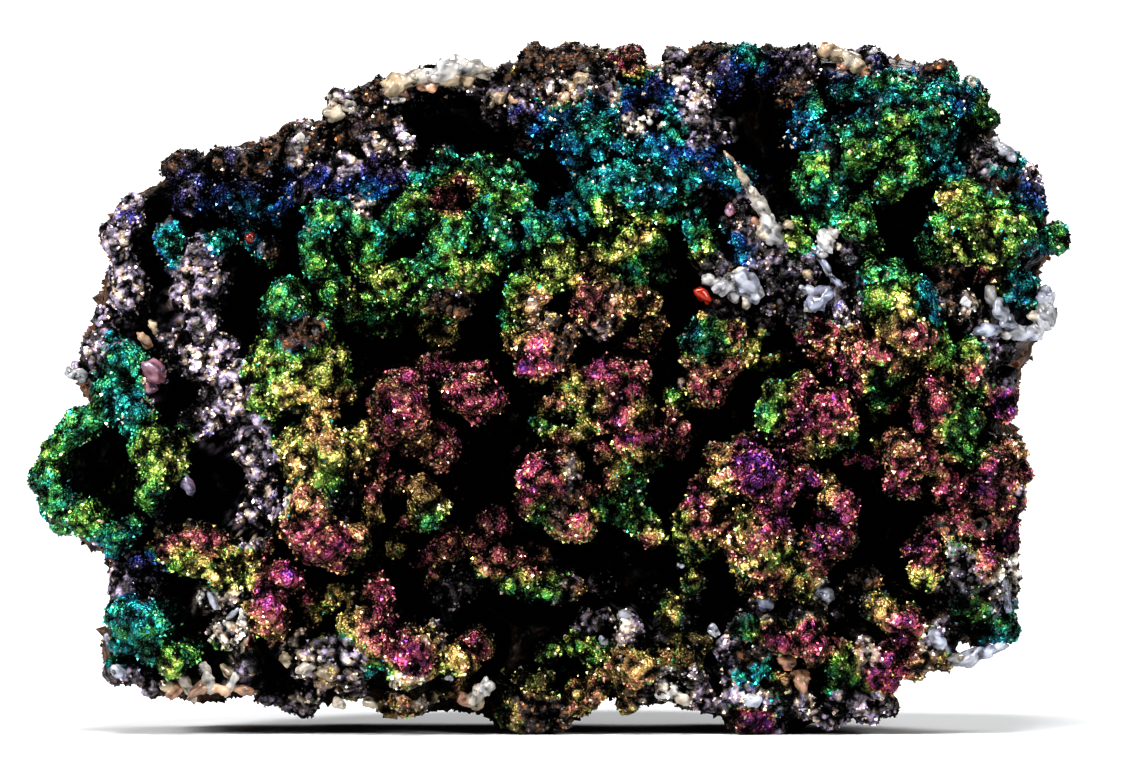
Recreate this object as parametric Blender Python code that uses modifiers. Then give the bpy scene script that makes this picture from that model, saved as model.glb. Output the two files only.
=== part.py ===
"""Iridescent goethite specimen: a broken chunk whose face is a crowd of grown columns.

Units are metres, +Z is up and the face looks towards -Y. The origin is the middle of the footprint,
on the surface that the specimen stands on.

The face is laid out on a drawing of its own. A place on it is (across, down) in units of UNIT, which is
a tenth of a millimetre at this size, so that (FACE_MIDDLE, FACE_BASE) lies over the origin and
(FACE_MIDDLE, FACE_CENTRE) is the middle of the chunk. How far a thing stands out towards the viewer, its
reach, is in millimetres from the middle plane of the chunk.
"""

import math
import random

import bmesh
import bpy
from mathutils import Matrix, Vector

MM = 0.001

# Driving dimensions, in metres
WIDTH = 0.1045          # overall width of the specimen, left tip to right tip
BACK = 0.0235           # how far the back stands behind the middle plane
CORE_FRONT = 0.0115     # how far the floor of the recesses stands in front of the middle plane
GAP = 0.0003            # clearance between a quartz crystal and its pocket in the goethite

# The drawing of the face
DRAWN_WIDTH = 1045
UNIT = WIDTH / DRAWN_WIDTH
FACE_MIDDLE = 550.5
FACE_CENTRE = 395
FACE_BASE = 736

# How fine the faceted solid is
VOXEL = 0.00092
MASS_TRIANGLES = 6700
SMOOTHING = 0.5
SAME_POINT = 0.00001

OUTLINE = [
    (28, 447), (60, 425), (80, 412), (88, 395), (84, 385), (62, 373), (66, 360), (75, 338), (84, 330),
    (89, 312), (94, 290), (104, 270), (101, 250), (106, 222), (110, 202), (122, 195), (150, 177),
    (163, 156), (175, 155), (190, 160), (215, 150), (240, 148), (262, 136), (275, 125), (297, 118),
    (307, 130), (327, 117), (336, 112), (334, 97), (352, 85), (370, 75), (402, 65), (450, 60), (485, 63),
    (492, 66), (507, 56), (522, 55), (540, 44), (580, 40), (612, 43), (637, 43), (648, 58), (659, 73),
    (662, 57), (670, 48), (695, 48), (722, 39), (748, 36), (770, 40), (782, 46), (800, 41), (825, 44),
    (845, 40), (862, 43), (883, 46), (900, 56), (935, 60), (958, 58), (966, 78), (980, 86), (988, 112),
    (1001, 130), (1012, 150), (1035, 168), (1048, 182), (1053, 205), (1062, 221), (1073, 233),
    (1073, 247), (1055, 262), (1046, 272), (1057, 290), (1058, 335), (1025, 342), (1013, 367),
    (1020, 392), (1008, 420), (1012, 437), (1028, 443), (1032, 462), (1038, 476), (1026, 486),
    (1032, 500), (1022, 530), (1024, 560), (1030, 570), (1024, 590), (1020, 620), (1015, 640),
    (960, 645), (944, 658), (942, 671), (925, 684), (900, 690), (893, 700), (890, 714), (872, 727),
    (835, 731), (808, 728), (780, 742), (748, 742), (727, 718), (706, 719), (690, 713), (672, 706),
    (645, 706), (627, 709), (615, 697), (600, 706), (580, 718), (560, 735), (512, 736), (500, 720),
    (480, 707), (440, 709), (418, 722), (398, 720), (385, 702), (366, 696), (325, 707), (298, 721),
    (285, 710), (255, 703), (215, 703), (165, 699), (145, 702), (130, 697), (101, 685), (94, 655),
    (103, 620), (107, 585), (112, 560), (80, 540), (40, 515), (35, 505), (42, 483), (30, 460),
]

# The chunk behind the face, front to back, in millimetres:
# (from, to, size against the outline, every how many of its points)
LAYERS = [
    (-12.0, -8.0, 0.970, 1),
    (-9.0, -3.0, 0.985, 2),
    (-4.5, 3.5, 0.985, 3),
    (1.5, 8.5, 0.975, 4),
    (6.5, 13.5, 0.955, 5),
    (11.5, 18.0, 0.925, 6),
    (16.0, 21.0, 0.870, 7),
]

# Broken faces of the back: (outward direction, distance from the middle of the chunk), in millimetres
BREAKS = [
    ((0.12, 0.99, 0.06), 21.0),
    ((0.10, 0.75, 0.65), 29.0),
    ((-0.80, 0.60, 0.05), 41.0),
    ((0.78, 0.60, -0.15), 42.0),
    ((-0.10, 0.70, -0.70), 34.5),
    ((-0.50, 0.62, 0.60), 37.0),
    ((0.62, 0.50, -0.60), 46.5),
    ((0.55, 0.60, 0.58), 41.0),
]

HEAD = 1.22             # the head of a column, with its grains, against its radius
STEM = 0.88             # the stem of a column against its head
ROOT = 0.0015           # how deep the stems start in the floor of the recesses

# Columns and nodules of the face: (across, down, radius, reach)
LEFT_SHOULDER = [
    (172, 164, 12, 15), (190, 168, 10, 15), (215, 160, 12, 16), (230, 156, 10, 16), (248, 165, 20, 18),
    (268, 148, 12, 16), (130, 201, 10, 15), (118, 215, 10, 16), (112, 238, 12, 17), (185, 195, 13, 19),
    (225, 196, 12, 20), (250, 200, 14, 21), (275, 205, 12, 21), (165, 225, 10, 19), (165, 243, 12, 19),
    (200, 250, 14, 20), (188, 268, 12, 19), (222, 238, 10, 20), (205, 290, 17, 21), (180, 295, 12, 19),
    (198, 320, 13, 20), (265, 250, 12, 20), (112, 290, 12, 17), (125, 302, 10, 17), (118, 262, 10, 17),
    (88, 345, 10, 15), (97, 362, 12, 16), (120, 358, 17, 19), (128, 378, 12, 19), (190, 343, 12, 19),
    (175, 360, 10, 18), (150, 378, 10, 18),
]
LEFT_LOOP = [
    (46, 455, 13, 17), (58, 440, 11, 17), (72, 428, 11, 18), (85, 418, 10, 18), (100, 408, 11, 19),
    (118, 400, 12, 20), (135, 418, 12, 21), (44, 478, 12, 17), (47, 500, 12, 17), (60, 515, 11, 17),
    (78, 522, 12, 18), (95, 532, 11, 18), (115, 540, 11, 19), (148, 440, 11, 21), (152, 462, 13, 22),
    (150, 485, 12, 22), (168, 450, 10, 21), (168, 475, 10, 20), (220, 395, 17, 20), (200, 415, 10, 20),
    (190, 428, 10, 20), (240, 383, 12, 20), (242, 410, 12, 20), (255, 438, 13, 20), (245, 455, 11, 20),
    (262, 470, 14, 20), (262, 498, 14, 20), (250, 515, 10, 19), (265, 415, 12, 20), (180, 536, 11, 20),
    (198, 541, 11, 21), (215, 547, 10, 21), (160, 552, 10, 20), (180, 561, 10, 21), (200, 568, 10, 21),
    (218, 576, 10, 21), (283, 580, 16, 22), (268, 590, 10, 21), (118, 577, 11, 17), (135, 572, 10, 18),
    (121, 598, 10, 17),
]
LOWER_LEFT = [
    (130, 628, 20, 20), (113, 620, 10, 18), (118, 650, 13, 18), (145, 652, 13, 20), (150, 630, 11, 20),
    (168, 667, 12, 20), (125, 675, 11, 17), (222, 640, 12, 20), (265, 610, 14, 22), (272, 628, 11, 21),
    (245, 668, 10, 19), (300, 668, 13, 19), (318, 655, 11, 20), (345, 652, 15, 21), (335, 672, 12, 20),
    (365, 618, 15, 22), (368, 637, 12, 22), (375, 652, 11, 22), (400, 658, 14, 22), (417, 655, 15, 23),
    (405, 676, 12, 22), (452, 660, 10, 20), (466, 668, 10, 20), (400, 705, 12, 17),
]
TOP_LEFT = [
    (290, 132, 12, 15), (280, 150, 12, 17), (305, 148, 12, 17), (322, 130, 10, 15), (348, 107, 13, 16),
    (365, 98, 14, 16), (380, 118, 14, 18), (350, 130, 14, 18), (375, 142, 12, 19), (293, 172, 10, 18),
    (325, 175, 10, 18), (345, 165, 10, 18), (380, 167, 10, 19), (372, 190, 10, 19), (365, 207, 10, 20),
    (420, 180, 10, 20), (440, 165, 12, 21), (475, 168, 12, 21), (480, 188, 10, 21), (495, 178, 10, 21),
    (315, 215, 12, 22), (312, 238, 13, 23), (318, 262, 12, 23), (338, 212, 12, 22), (362, 230, 13, 22),
    (410, 215, 16, 23), (428, 208, 10, 22), (450, 228, 18, 24), (445, 250, 18, 24), (470, 240, 10, 22),
    (485, 208, 10, 22), (500, 195, 11, 22), (515, 205, 10, 22), (500, 228, 12, 22), (508, 245, 10, 21),
]
GREEN_COLUMNS = [
    (425, 275, 12, 23), (465, 275, 14, 24), (448, 285, 11, 23), (425, 303, 12, 22), (455, 303, 17, 23),
    (440, 332, 14, 19), (365, 262, 10, 21), (375, 290, 12, 21), (395, 275, 12, 22), (396, 292, 11, 21),
    (335, 295, 12, 22), (370, 320, 15, 18), (320, 270, 10, 21), (285, 298, 18, 23), (290, 325, 16, 23),
    (272, 315, 10, 21), (292, 345, 13, 23), (320, 333, 12, 22), (310, 352, 13, 23), (335, 358, 10, 21),
    (262, 350, 10, 21), (278, 373, 18, 23), (300, 368, 13, 23), (325, 375, 14, 23), (255, 372, 10, 21),
    (262, 395, 11, 22), (285, 395, 13, 23), (308, 395, 12, 23), (325, 408, 14, 23), (400, 380, 13, 23),
    (388, 398, 14, 24), (408, 405, 18, 25), (395, 420, 13, 24), (415, 425, 11, 23), (430, 368, 12, 21),
    (450, 388, 10, 22), (470, 398, 14, 23), (486, 395, 10, 22),
]
GOLDEN_MASS = [
    (315, 435, 16, 24), (300, 455, 13, 23), (330, 455, 17, 25), (312, 478, 14, 24), (355, 455, 12, 23),
    (340, 483, 14, 24), (308, 505, 18, 24), (330, 505, 12, 23), (300, 530, 15, 24), (330, 540, 20, 25),
    (355, 540, 13, 24), (310, 552, 12, 23), (340, 558, 10, 22), (372, 445, 11, 21), (376, 470, 11, 21),
    (374, 495, 11, 21), (370, 518, 11, 21), (440, 432, 12, 21), (440, 455, 14, 22), (425, 500, 15, 23),
    (405, 440, 12, 21), (390, 545, 10, 18), (368, 568, 12, 18), (445, 550, 19, 18), (425, 565, 10, 17),
    (450, 595, 12, 19), (358, 600, 10, 20), (495, 525, 15, 18), (500, 562, 13, 19), (478, 545, 11, 17),
]
TOP_MIDDLE = [
    (510, 72, 13, 17), (530, 72, 14, 18), (545, 60, 12, 16), (565, 55, 12, 16), (548, 80, 10, 18),
    (592, 56, 13, 17), (582, 82, 13, 19), (560, 95, 12, 19), (575, 100, 9, 19), (500, 95, 12, 18),
    (518, 97, 10, 19), (535, 95, 9, 18), (612, 62, 12, 16), (612, 90, 11, 19), (600, 75, 10, 18),
    (630, 54, 9, 15), (635, 68, 9, 17), (628, 92, 11, 19), (650, 93, 9, 18), (523, 115, 9, 20),
    (540, 123, 9, 20), (572, 140, 12, 23), (575, 155, 10, 22), (590, 130, 14, 23), (597, 145, 10, 22),
    (610, 112, 9, 20), (630, 117, 9, 20), (627, 132, 9, 20), (610, 148, 9, 20), (480, 163, 9, 20),
    (585, 182, 10, 21), (598, 170, 9, 21), (592, 195, 9, 21), (618, 168, 10, 22), (615, 188, 12, 23),
    (633, 183, 12, 23), (628, 200, 9, 22), (650, 180, 12, 23), (666, 178, 11, 23), (648, 200, 12, 23),
    (665, 195, 9, 22), (640, 215, 9, 21), (665, 215, 10, 21), (600, 210, 10, 22), (580, 215, 9, 21),
    (660, 145, 12, 22), (673, 125, 10, 21), (685, 155, 12, 22), (697, 160, 9, 22), (705, 145, 9, 21),
    (710, 165, 12, 23), (722, 172, 11, 22), (736, 180, 9, 21), (690, 182, 12, 22), (705, 130, 13, 20),
    (690, 125, 9, 19), (685, 108, 9, 18), (690, 92, 10, 18), (680, 64, 13, 16), (685, 78, 10, 17),
    (700, 60, 9, 15), (712, 54, 10, 15), (725, 50, 9, 14), (727, 64, 12, 17), (745, 50, 11, 16),
    (757, 54, 9, 15), (735, 80, 9, 18), (762, 65, 9, 15),
]
TOP_RIGHT = [
    (797, 65, 9, 16), (806, 82, 9, 17), (800, 53, 9, 14), (815, 58, 9, 15), (822, 101, 9, 18),
    (810, 130, 10, 19), (855, 88, 10, 19), (878, 58, 9, 15), (890, 78, 11, 20), (905, 85, 9, 20),
    (893, 100, 12, 22), (905, 112, 10, 22), (890, 115, 10, 22), (877, 113, 9, 21), (827, 143, 9, 21),
    (850, 133, 10, 22), (858, 145, 9, 23), (849, 153, 10, 23), (875, 133, 9, 22), (811, 173, 9, 21),
    (820, 180, 9, 22), (831, 205, 9, 21), (863, 228, 10, 22), (895, 175, 12, 22), (908, 170, 9, 22),
    (741, 240, 11, 21), (692, 230, 9, 21), (915, 75, 10, 17), (950, 70, 10, 16), (928, 95, 10, 20),
    (945, 85, 10, 19), (955, 88, 9, 19), (975, 108, 9, 17), (925, 118, 10, 21), (937, 118, 9, 22),
    (948, 163, 9, 20), (985, 155, 9, 19), (908, 142, 9, 21), (912, 165, 9, 22), (992, 167, 10, 20),
    (1005, 160, 9, 19), (1005, 172, 9, 20), (1023, 172, 9, 18), (988, 187, 12, 21), (973, 190, 10, 21),
    (957, 193, 10, 21), (960, 210, 12, 22), (975, 215, 10, 22), (987, 215, 9, 22), (1000, 200, 9, 20),
    (1021, 187, 9, 19), (1028, 200, 9, 19), (1017, 208, 9, 20), (1038, 192, 9, 17), (1044, 209, 9, 16),
]
RIGHT_GREEN = [
    (945, 222, 9, 21), (946, 236, 9, 21), (1010, 222, 11, 22), (1026, 221, 10, 21), (1020, 238, 11, 22),
    (992, 240, 9, 22), (995, 253, 9, 22), (1010, 255, 9, 20), (1050, 240, 10, 17), (955, 248, 9, 20),
    (890, 277, 12, 22), (903, 284, 9, 22), (876, 284, 9, 21), (884, 298, 13, 23), (870, 305, 11, 22),
    (868, 292, 9, 22), (903, 300, 11, 23), (918, 296, 9, 22), (900, 315, 11, 23), (915, 312, 9, 23),
    (900, 332, 12, 24), (915, 335, 12, 24), (910, 350, 10, 23), (890, 332, 9, 23), (880, 352, 12, 23),
    (895, 352, 9, 23), (928, 333, 9, 22), (905, 363, 10, 21), (945, 358, 9, 20), (925, 350, 9, 21),
    (865, 370, 9, 21), (862, 387, 9, 21), (879, 383, 10, 21), (955, 290, 10, 19), (966, 305, 10, 20),
    (950, 268, 10, 19), (990, 270, 9, 19), (1028, 280, 9, 17), (988, 338, 9, 18), (1006, 352, 9, 17),
    (1007, 377, 9, 16), (1000, 402, 10, 17), (969, 373, 9, 20), (934, 389, 9, 22), (933, 405, 10, 23),
    (944, 412, 9, 23), (897, 448, 11, 22), (912, 450, 12, 23), (900, 466, 10, 22), (916, 467, 10, 22),
    (929, 460, 9, 21), (903, 484, 9, 20),
]
LOWER_RIGHT = [
    (988, 457, 9, 19), (995, 470, 13, 21), (983, 483, 11, 21), (1004, 482, 12, 20), (995, 500, 12, 20),
    (1010, 463, 9, 19), (1018, 454, 9, 17), (1012, 503, 10, 18), (1000, 517, 9, 19), (984, 512, 9, 19),
    (1013, 488, 9, 18), (956, 530, 10, 19), (985, 530, 11, 20), (970, 526, 9, 19), (1009, 537, 9, 17),
    (930, 556, 10, 20), (960, 553, 11, 19), (962, 572, 9, 19), (965, 588, 11, 19), (983, 560, 10, 20),
    (993, 573, 10, 20), (978, 576, 9, 20), (985, 595, 9, 19), (1000, 590, 10, 18), (1013, 590, 9, 16),
    (992, 610, 9, 18), (1008, 612, 9, 16), (1000, 628, 9, 17), (773, 630, 10, 21), (782, 644, 9, 21),
    (808, 628, 10, 21), (815, 644, 11, 22), (765, 603, 9, 18), (825, 595, 10, 18), (884, 612, 11, 21),
    (894, 626, 9, 21), (915, 628, 10, 20), (928, 642, 9, 19), (886, 660, 10, 18), (928, 660, 9, 19),
    (860, 592, 10, 17), (873, 582, 9, 17), (742, 655, 11, 18), (760, 655, 9, 18), (738, 670, 9, 18),
    (752, 678, 9, 18), (734, 687, 9, 17), (750, 700, 11, 18), (735, 710, 9, 17), (750, 726, 11, 17),
    (764, 729, 9, 16), (785, 690, 11, 18), (772, 705, 9, 17), (800, 700, 9, 17), (812, 714, 9, 16),
    (827, 717, 9, 17), (844, 718, 9, 16), (866, 715, 9, 16), (876, 704, 9, 15), (843, 670, 11, 19),
    (858, 664, 9, 18), (866, 678, 9, 17), (850, 696, 10, 17), (880, 688, 9, 16),
]
PINK_MIDDLE = [
    (535, 225, 11, 22), (550, 225, 9, 21), (558, 242, 12, 23), (553, 262, 9, 22), (560, 275, 12, 23),
    (512, 295, 10, 22), (526, 305, 12, 23), (540, 295, 9, 22), (595, 263, 11, 23), (611, 263, 9, 22),
    (607, 290, 12, 24), (611, 308, 11, 24), (590, 297, 10, 24), (598, 322, 10, 23), (628, 240, 9, 22),
    (655, 258, 10, 20), (627, 268, 9, 21), (636, 281, 9, 21), (632, 305, 10, 21), (530, 345, 10, 23),
    (527, 367, 10, 23), (545, 340, 10, 23), (560, 345, 11, 23), (551, 363, 10, 23), (540, 357, 9, 23),
    (616, 372, 9, 23), (596, 380, 9, 22), (618, 388, 11, 24), (635, 387, 9, 23), (620, 405, 11, 24),
    (604, 410, 9, 23), (639, 408, 9, 23), (575, 393, 9, 21), (618, 422, 9, 24), (638, 450, 10, 22),
    (622, 472, 11, 21), (545, 467, 12, 23), (569, 468, 11, 23), (563, 484, 11, 23), (534, 486, 11, 23),
    (550, 480, 11, 24), (583, 524, 9, 22), (672, 418, 9, 20), (705, 323, 10, 22), (721, 325, 10, 22),
    (709, 344, 12, 23), (729, 346, 10, 23), (694, 344, 9, 22), (726, 367, 10, 21), (690, 383, 9, 21),
    (687, 520, 9, 21), (700, 525, 12, 22), (702, 546, 9, 20), (690, 556, 9, 18), (545, 555, 12, 17),
    (530, 577, 14, 18), (555, 580, 9, 17), (600, 585, 9, 16), (620, 560, 9, 16), (697, 580, 9, 19),
]
PURPLE_RIGHT = [
    (774, 390, 9, 21), (775, 408, 9, 21), (790, 391, 9, 21), (795, 408, 11, 22), (785, 430, 9, 21),
    (820, 402, 9, 22), (832, 405, 11, 23), (838, 420, 9, 23), (825, 428, 10, 23), (809, 428, 9, 22),
    (815, 443, 9, 22), (730, 460, 10, 22), (712, 496, 9, 21), (757, 468, 11, 23), (752, 485, 11, 24),
    (774, 482, 11, 24), (777, 497, 11, 24), (768, 508, 9, 23), (752, 525, 11, 24), (765, 530, 11, 24),
    (757, 545, 12, 24), (768, 550, 10, 24), (765, 563, 10, 23), (750, 563, 9, 23), (721, 530, 9, 21),
    (733, 530, 10, 22), (735, 547, 9, 21), (755, 578, 9, 21), (775, 575, 9, 21), (799, 480, 9, 21),
    (808, 485, 9, 21), (830, 498, 9, 22), (828, 520, 11, 22), (834, 535, 9, 21), (828, 546, 10, 21),
    (810, 552, 12, 21), (796, 555, 9, 20), (820, 560, 9, 20), (745, 180, 9, 19), (750, 200, 9, 20),
    (747, 218, 9, 19), (822, 340, 9, 20), (848, 377, 9, 20), (745, 314, 9, 18),
]
LOWER_MIDDLE = [
    (590, 625, 10, 18), (628, 622, 9, 19), (668, 628, 11, 19), (670, 605, 9, 18), (618, 670, 10, 19),
    (632, 672, 11, 20), (645, 672, 10, 20), (625, 688, 9, 19), (632, 698, 9, 16), (650, 694, 9, 16),
    (728, 650, 9, 18), (667, 693, 9, 18), (700, 690, 11, 16), (713, 705, 10, 15), (690, 702, 9, 15),
    (600, 680, 9, 17), (560, 712, 9, 17), (540, 712, 9, 17), (520, 712, 10, 17), (525, 685, 9, 16),
    (625, 650, 13, 19),
]
COLUMNS = (
    LEFT_SHOULDER + LEFT_LOOP + LOWER_LEFT + TOP_LEFT + GREEN_COLUMNS + GOLDEN_MASS + TOP_MIDDLE
    + TOP_RIGHT + RIGHT_GREEN + LOWER_RIGHT + PINK_MIDDLE + PURPLE_RIGHT + LOWER_MIDDLE
)

# Deep recesses between the columns: (across, down, half width, half height, reach of the floor)
HOLLOW_MOUTH = 26.0     # the recesses are widest this far in front of the middle plane, in millimetres
HOLLOWS = [
    (107, 472, 27, 52, 3), (250, 295, 18, 30, 6), (208, 482, 20, 42, 5), (188, 622, 28, 38, 5),
    (430, 122, 38, 24, 5), (508, 135, 20, 18, 7), (558, 175, 15, 32, 5), (768, 120, 32, 45, 2),
    (788, 180, 24, 38, 2), (848, 110, 17, 14, 6), (905, 222, 26, 26, 6), (962, 135, 18, 30, 5),
    (780, 330, 28, 26, 7), (957, 330, 13, 24, 8), (722, 425, 28, 24, 6), (672, 480, 26, 34, 6),
    (605, 558, 42, 20, 6), (470, 470, 22, 40, 7), (505, 640, 42, 26, 6), (880, 525, 38, 34, 6),
    (852, 628, 16, 24, 7), (318, 622, 26, 14, 9), (415, 600, 18, 28, 8), (870, 425, 16, 14, 9),
]

# Lumps under the specimen that touch the surface it stands on: (across, half width, half length), the last
# two in millimetres
FEET = [
    (531, 5.0, 14.0),
    (764, 4.2, 13.0),
]
FOOT_HEIGHT = 4.4       # the middle of a foot stands this high, in millimetres
FOOT_HALF_HEIGHT = 6.0

# Rubble of the broken back and sides, and how rough its faces are, in millimetres
BACK_LUMPS = 46
SIDE_LUMPS = 120
LUMP_SEED = 5
ROUGHNESS = [(9.0, 2.6), (3.6, 1.2)]     # (size of the bumps, their depth)
ROUGH_FROM = -9.0                        # the roughness starts this far behind the middle plane

# Quartz: (across, down, reach of its front, length, width, thickness, turn in the face). Lengths are in
# millimetres, and a crystal's width is its radius.
SLABS = {
    "quartz_top_slab": [(420, 79, 18.5, 5.4, 1.9, 4.5, -10), (458, 70, 18.2, 5.6, 1.8, 4.8, -1)],
    "quartz_cream_patch": [(838, 55, 18.0, 3.6, 1.6, 4.0, 27), (855, 64, 17.6, 3.2, 1.9, 4.2, 30)],
    "quartz_right_edge": [
        (1000, 312, 18.6, 5.2, 2.0, 5.0, 72), (1041, 312, 17.4, 4.6, 2.2, 5.2, -84),
        (1023, 333, 17.6, 4.4, 1.5, 4.6, 4),
    ],
    "quartz_sliver": [(970, 657, 17.5, 4.6, 1.5, 3.6, -14), (994, 650, 17.2, 3.6, 1.3, 3.2, -32)],
}
CRYSTALS = {
    "quartz_vein": [
        (738, 170, 20.5, 4.2, 0.8, 5.2, 50), (756, 196, 20.5, 4.4, 0.9, 5.4, 56),
        (771, 226, 21.5, 3.6, 1.4, 5.2, 66),
    ],
    "quartz_white_cluster": [
        (716, 284, 21.0, 3.2, 1.4, 4.6, 15), (731, 291, 21.6, 2.6, 1.3, 4.8, -15),
        (748, 284, 22.4, 3.6, 1.5, 5.2, 68),
    ],
    "quartz_tooth": [(818, 301, 21.6, 2.8, 1.4, 5.0, -35), (806, 291, 20.6, 1.8, 0.9, 4.2, 40)],
    "quartz_knob": [(824, 247, 20.4, 2.2, 1.1, 4.4, 80), (833, 240, 20.8, 1.8, 1.0, 4.4, 30)],
    "quartz_left_foot": [
        (178, 688, 17.6, 3.0, 1.3, 4.2, 12), (203, 685, 18.4, 3.2, 1.4, 4.4, -8),
        (229, 687, 18.2, 3.0, 1.3, 4.2, 24),
    ],
    "quartz_foot": [(468, 698, 18.6, 2.4, 0.9, 4.2, 25), (482, 690, 19.2, 2.8, 1.0, 4.2, -50)],
}


def fresh_scene():
    """Empties the scene."""
    for item in list(bpy.data.objects):
        bpy.data.objects.remove(item, do_unlink=True)


def collection(name):
    """A new collection in the scene."""
    group = bpy.data.collections.new(name)
    bpy.context.scene.collection.children.link(group)
    return group


def material(name, color, roughness, metallic=0.0):
    """A Principled material of one plain colour."""
    made = bpy.data.materials.new(name)
    made.use_nodes = True
    shader = made.node_tree.nodes["Principled BSDF"]
    shader.inputs["Base Color"].default_value = (*color, 1.0)
    shader.inputs["Roughness"].default_value = roughness
    shader.inputs["Metallic"].default_value = metallic
    return made


def on_face(across, down, reach):
    """The point over a place on the drawing of the face, reach millimetres in front of the middle plane."""
    return Vector(((across - FACE_MIDDLE) * UNIT, -reach * MM, (FACE_BASE - down) * UNIT))


def mesh_object(name, bm, group, cutter=False):
    """A bmesh made into an object, in a collection."""
    mesh = bpy.data.meshes.new(name)
    bm.to_mesh(mesh)
    bm.free()
    made = bpy.data.objects.new(name, mesh)
    group.objects.link(made)
    if cutter:
        made.hide_render = True
        made.display_type = "WIRE"
    return made


def evaluated(source, name, group, cutter=False):
    """A plain mesh copy of an object with its modifiers applied; the source is removed."""
    bpy.context.view_layer.update()
    graph = bpy.context.evaluated_depsgraph_get()
    mesh = bpy.data.meshes.new_from_object(source.evaluated_get(graph))
    mesh.transform(source.matrix_world)
    bm = bmesh.new()
    bm.from_mesh(mesh)
    bpy.data.meshes.remove(mesh)
    bpy.data.objects.remove(source, do_unlink=True)
    bmesh.ops.remove_doubles(bm, verts=bm.verts, dist=SAME_POINT)
    return mesh_object(name, bm, group, cutter)


def add_ball(bm, centre, radii, turn=None, detail=2):
    """Adds an ellipsoid to a bmesh."""
    matrix = Matrix.Translation(centre) @ (turn or Matrix.Identity(4)) @ Matrix.Diagonal((*radii, 1.0))
    bmesh.ops.create_icosphere(bm, subdivisions=detail, radius=1.0, matrix=matrix)


def add_stem(bm, foot, tip, radius):
    """Adds a closed eight-sided rod from one point to another."""
    axis = tip - foot
    turn = axis.to_track_quat("Z", "Y").to_matrix().to_4x4()
    matrix = Matrix.Translation((foot + tip) / 2) @ turn
    bmesh.ops.create_cone(
        bm, cap_ends=True, segments=8, radius1=radius, radius2=radius, depth=axis.length, matrix=matrix
    )


def make_layer(front, back, share, every, group):
    """One layer of the chunk: some of the outline's points, drawn about its middle and extruded."""
    points = OUTLINE[::every]
    curve = bpy.data.curves.new("layer", "CURVE")
    curve.dimensions = "2D"
    curve.fill_mode = "BOTH"
    curve.extrude = (back - front) / 2 * MM
    spline = curve.splines.new("POLY")
    spline.points.add(len(points) - 1)
    for point, (across, down) in zip(spline.points, points):
        shrunk_across = FACE_MIDDLE + (across - FACE_MIDDLE) * share
        shrunk_down = FACE_CENTRE + (down - FACE_CENTRE) * share
        place = on_face(shrunk_across, shrunk_down, 0)
        point.co = (place.x, place.z, 0.0, 1.0)
    spline.use_cyclic_u = True
    layer = bpy.data.objects.new("layer", curve)
    layer.rotation_euler = (math.pi / 2, 0, 0)
    layer.location = (0, (front + back) / 2 * MM, 0)
    group.objects.link(layer)
    return evaluated(layer, "layer", group)


def outline_places():
    """Points every few millimetres along the outline, each with its inward direction."""
    places = []
    spacing = 40
    for start, end in zip(OUTLINE, OUTLINE[1:] + OUTLINE[:1]):
        steps = max(1, round(math.dist(start, end) / spacing))
        for step in range(steps):
            share = (step + 0.5) / steps
            across = start[0] + (end[0] - start[0]) * share
            down = start[1] + (end[1] - start[1]) * share
            inward = Vector((-(end[1] - start[1]), end[0] - start[0])).normalized()
            places.append((across, down, inward))
    return places


def add_block(bm, centre, radius, draw):
    """Adds an angular lump, turned and stretched at random."""
    turn = Matrix.Rotation(draw.uniform(0, math.pi), 4, Vector([draw.uniform(-1, 1) for _ in range(3)]))
    radii = [radius * draw.uniform(0.7, 1.3) * MM for _ in range(3)]
    add_ball(bm, centre, radii, turn, detail=1)


def add_rubble(bm):
    """Adds the broken lumps of the sides and the back."""
    draw = random.Random(LUMP_SEED)
    places = outline_places()
    for _ in range(SIDE_LUMPS):
        across, down, inward = draw.choice(places)
        radius = draw.uniform(2.2, 5.6)
        depth = draw.uniform(-4.0, 17.0)
        tuck = radius * draw.uniform(0.85, 1.15) + 0.25 * max(0.0, depth)
        centre = on_face(across, down, -depth)
        centre.x += inward.x * tuck * MM
        centre.z -= inward.y * tuck * MM
        add_block(bm, centre, radius, draw)
    half_width = 0.39 * DRAWN_WIDTH
    half_height = 245
    for _ in range(BACK_LUMPS):
        across = FACE_MIDDLE + draw.uniform(-half_width, half_width)
        down = FACE_CENTRE + draw.uniform(-half_height, half_height)
        radius = draw.uniform(3.0, 6.4)
        add_block(bm, on_face(across, down, radius * 0.8 - BACK / MM), radius, draw)


def make_blank(group):
    """The goethite before it is cut: layers, columns, rubble and feet, all overlapping in one mesh."""
    layers = [make_layer(front, back, share, every, group) for front, back, share, every in LAYERS]
    bm = bmesh.new()
    for layer in layers:
        bm.from_mesh(layer.data)
        bpy.data.objects.remove(layer, do_unlink=True)
    root_reach = (CORE_FRONT - ROOT) / MM
    for across, down, radius, reach in COLUMNS:
        size = radius * UNIT * HEAD
        tip = on_face(across, down, reach - size / MM)
        foot = on_face(across, down, min(root_reach, reach - 2.5))
        add_ball(bm, tip, [size, size, size])
        add_stem(bm, foot, tip, size * STEM)
    add_rubble(bm)
    for across, half_width, half_length in FEET:
        centre = on_face(across, FACE_BASE, 0)
        centre.z = FOOT_HEIGHT * MM
        add_ball(bm, centre, [half_width * MM, half_length * MM, FOOT_HALF_HEIGHT * MM], detail=3)
    blank = mesh_object("blank", bm, group)
    grow_together(blank)
    return evaluated(blank, "blank", group)


def grow_together(body):
    """Puts a body's overlapping shapes under one skin."""
    remesh = body.modifiers.new("grown together", "REMESH")
    remesh.mode = "VOXEL"
    remesh.voxel_size = VOXEL


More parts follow.
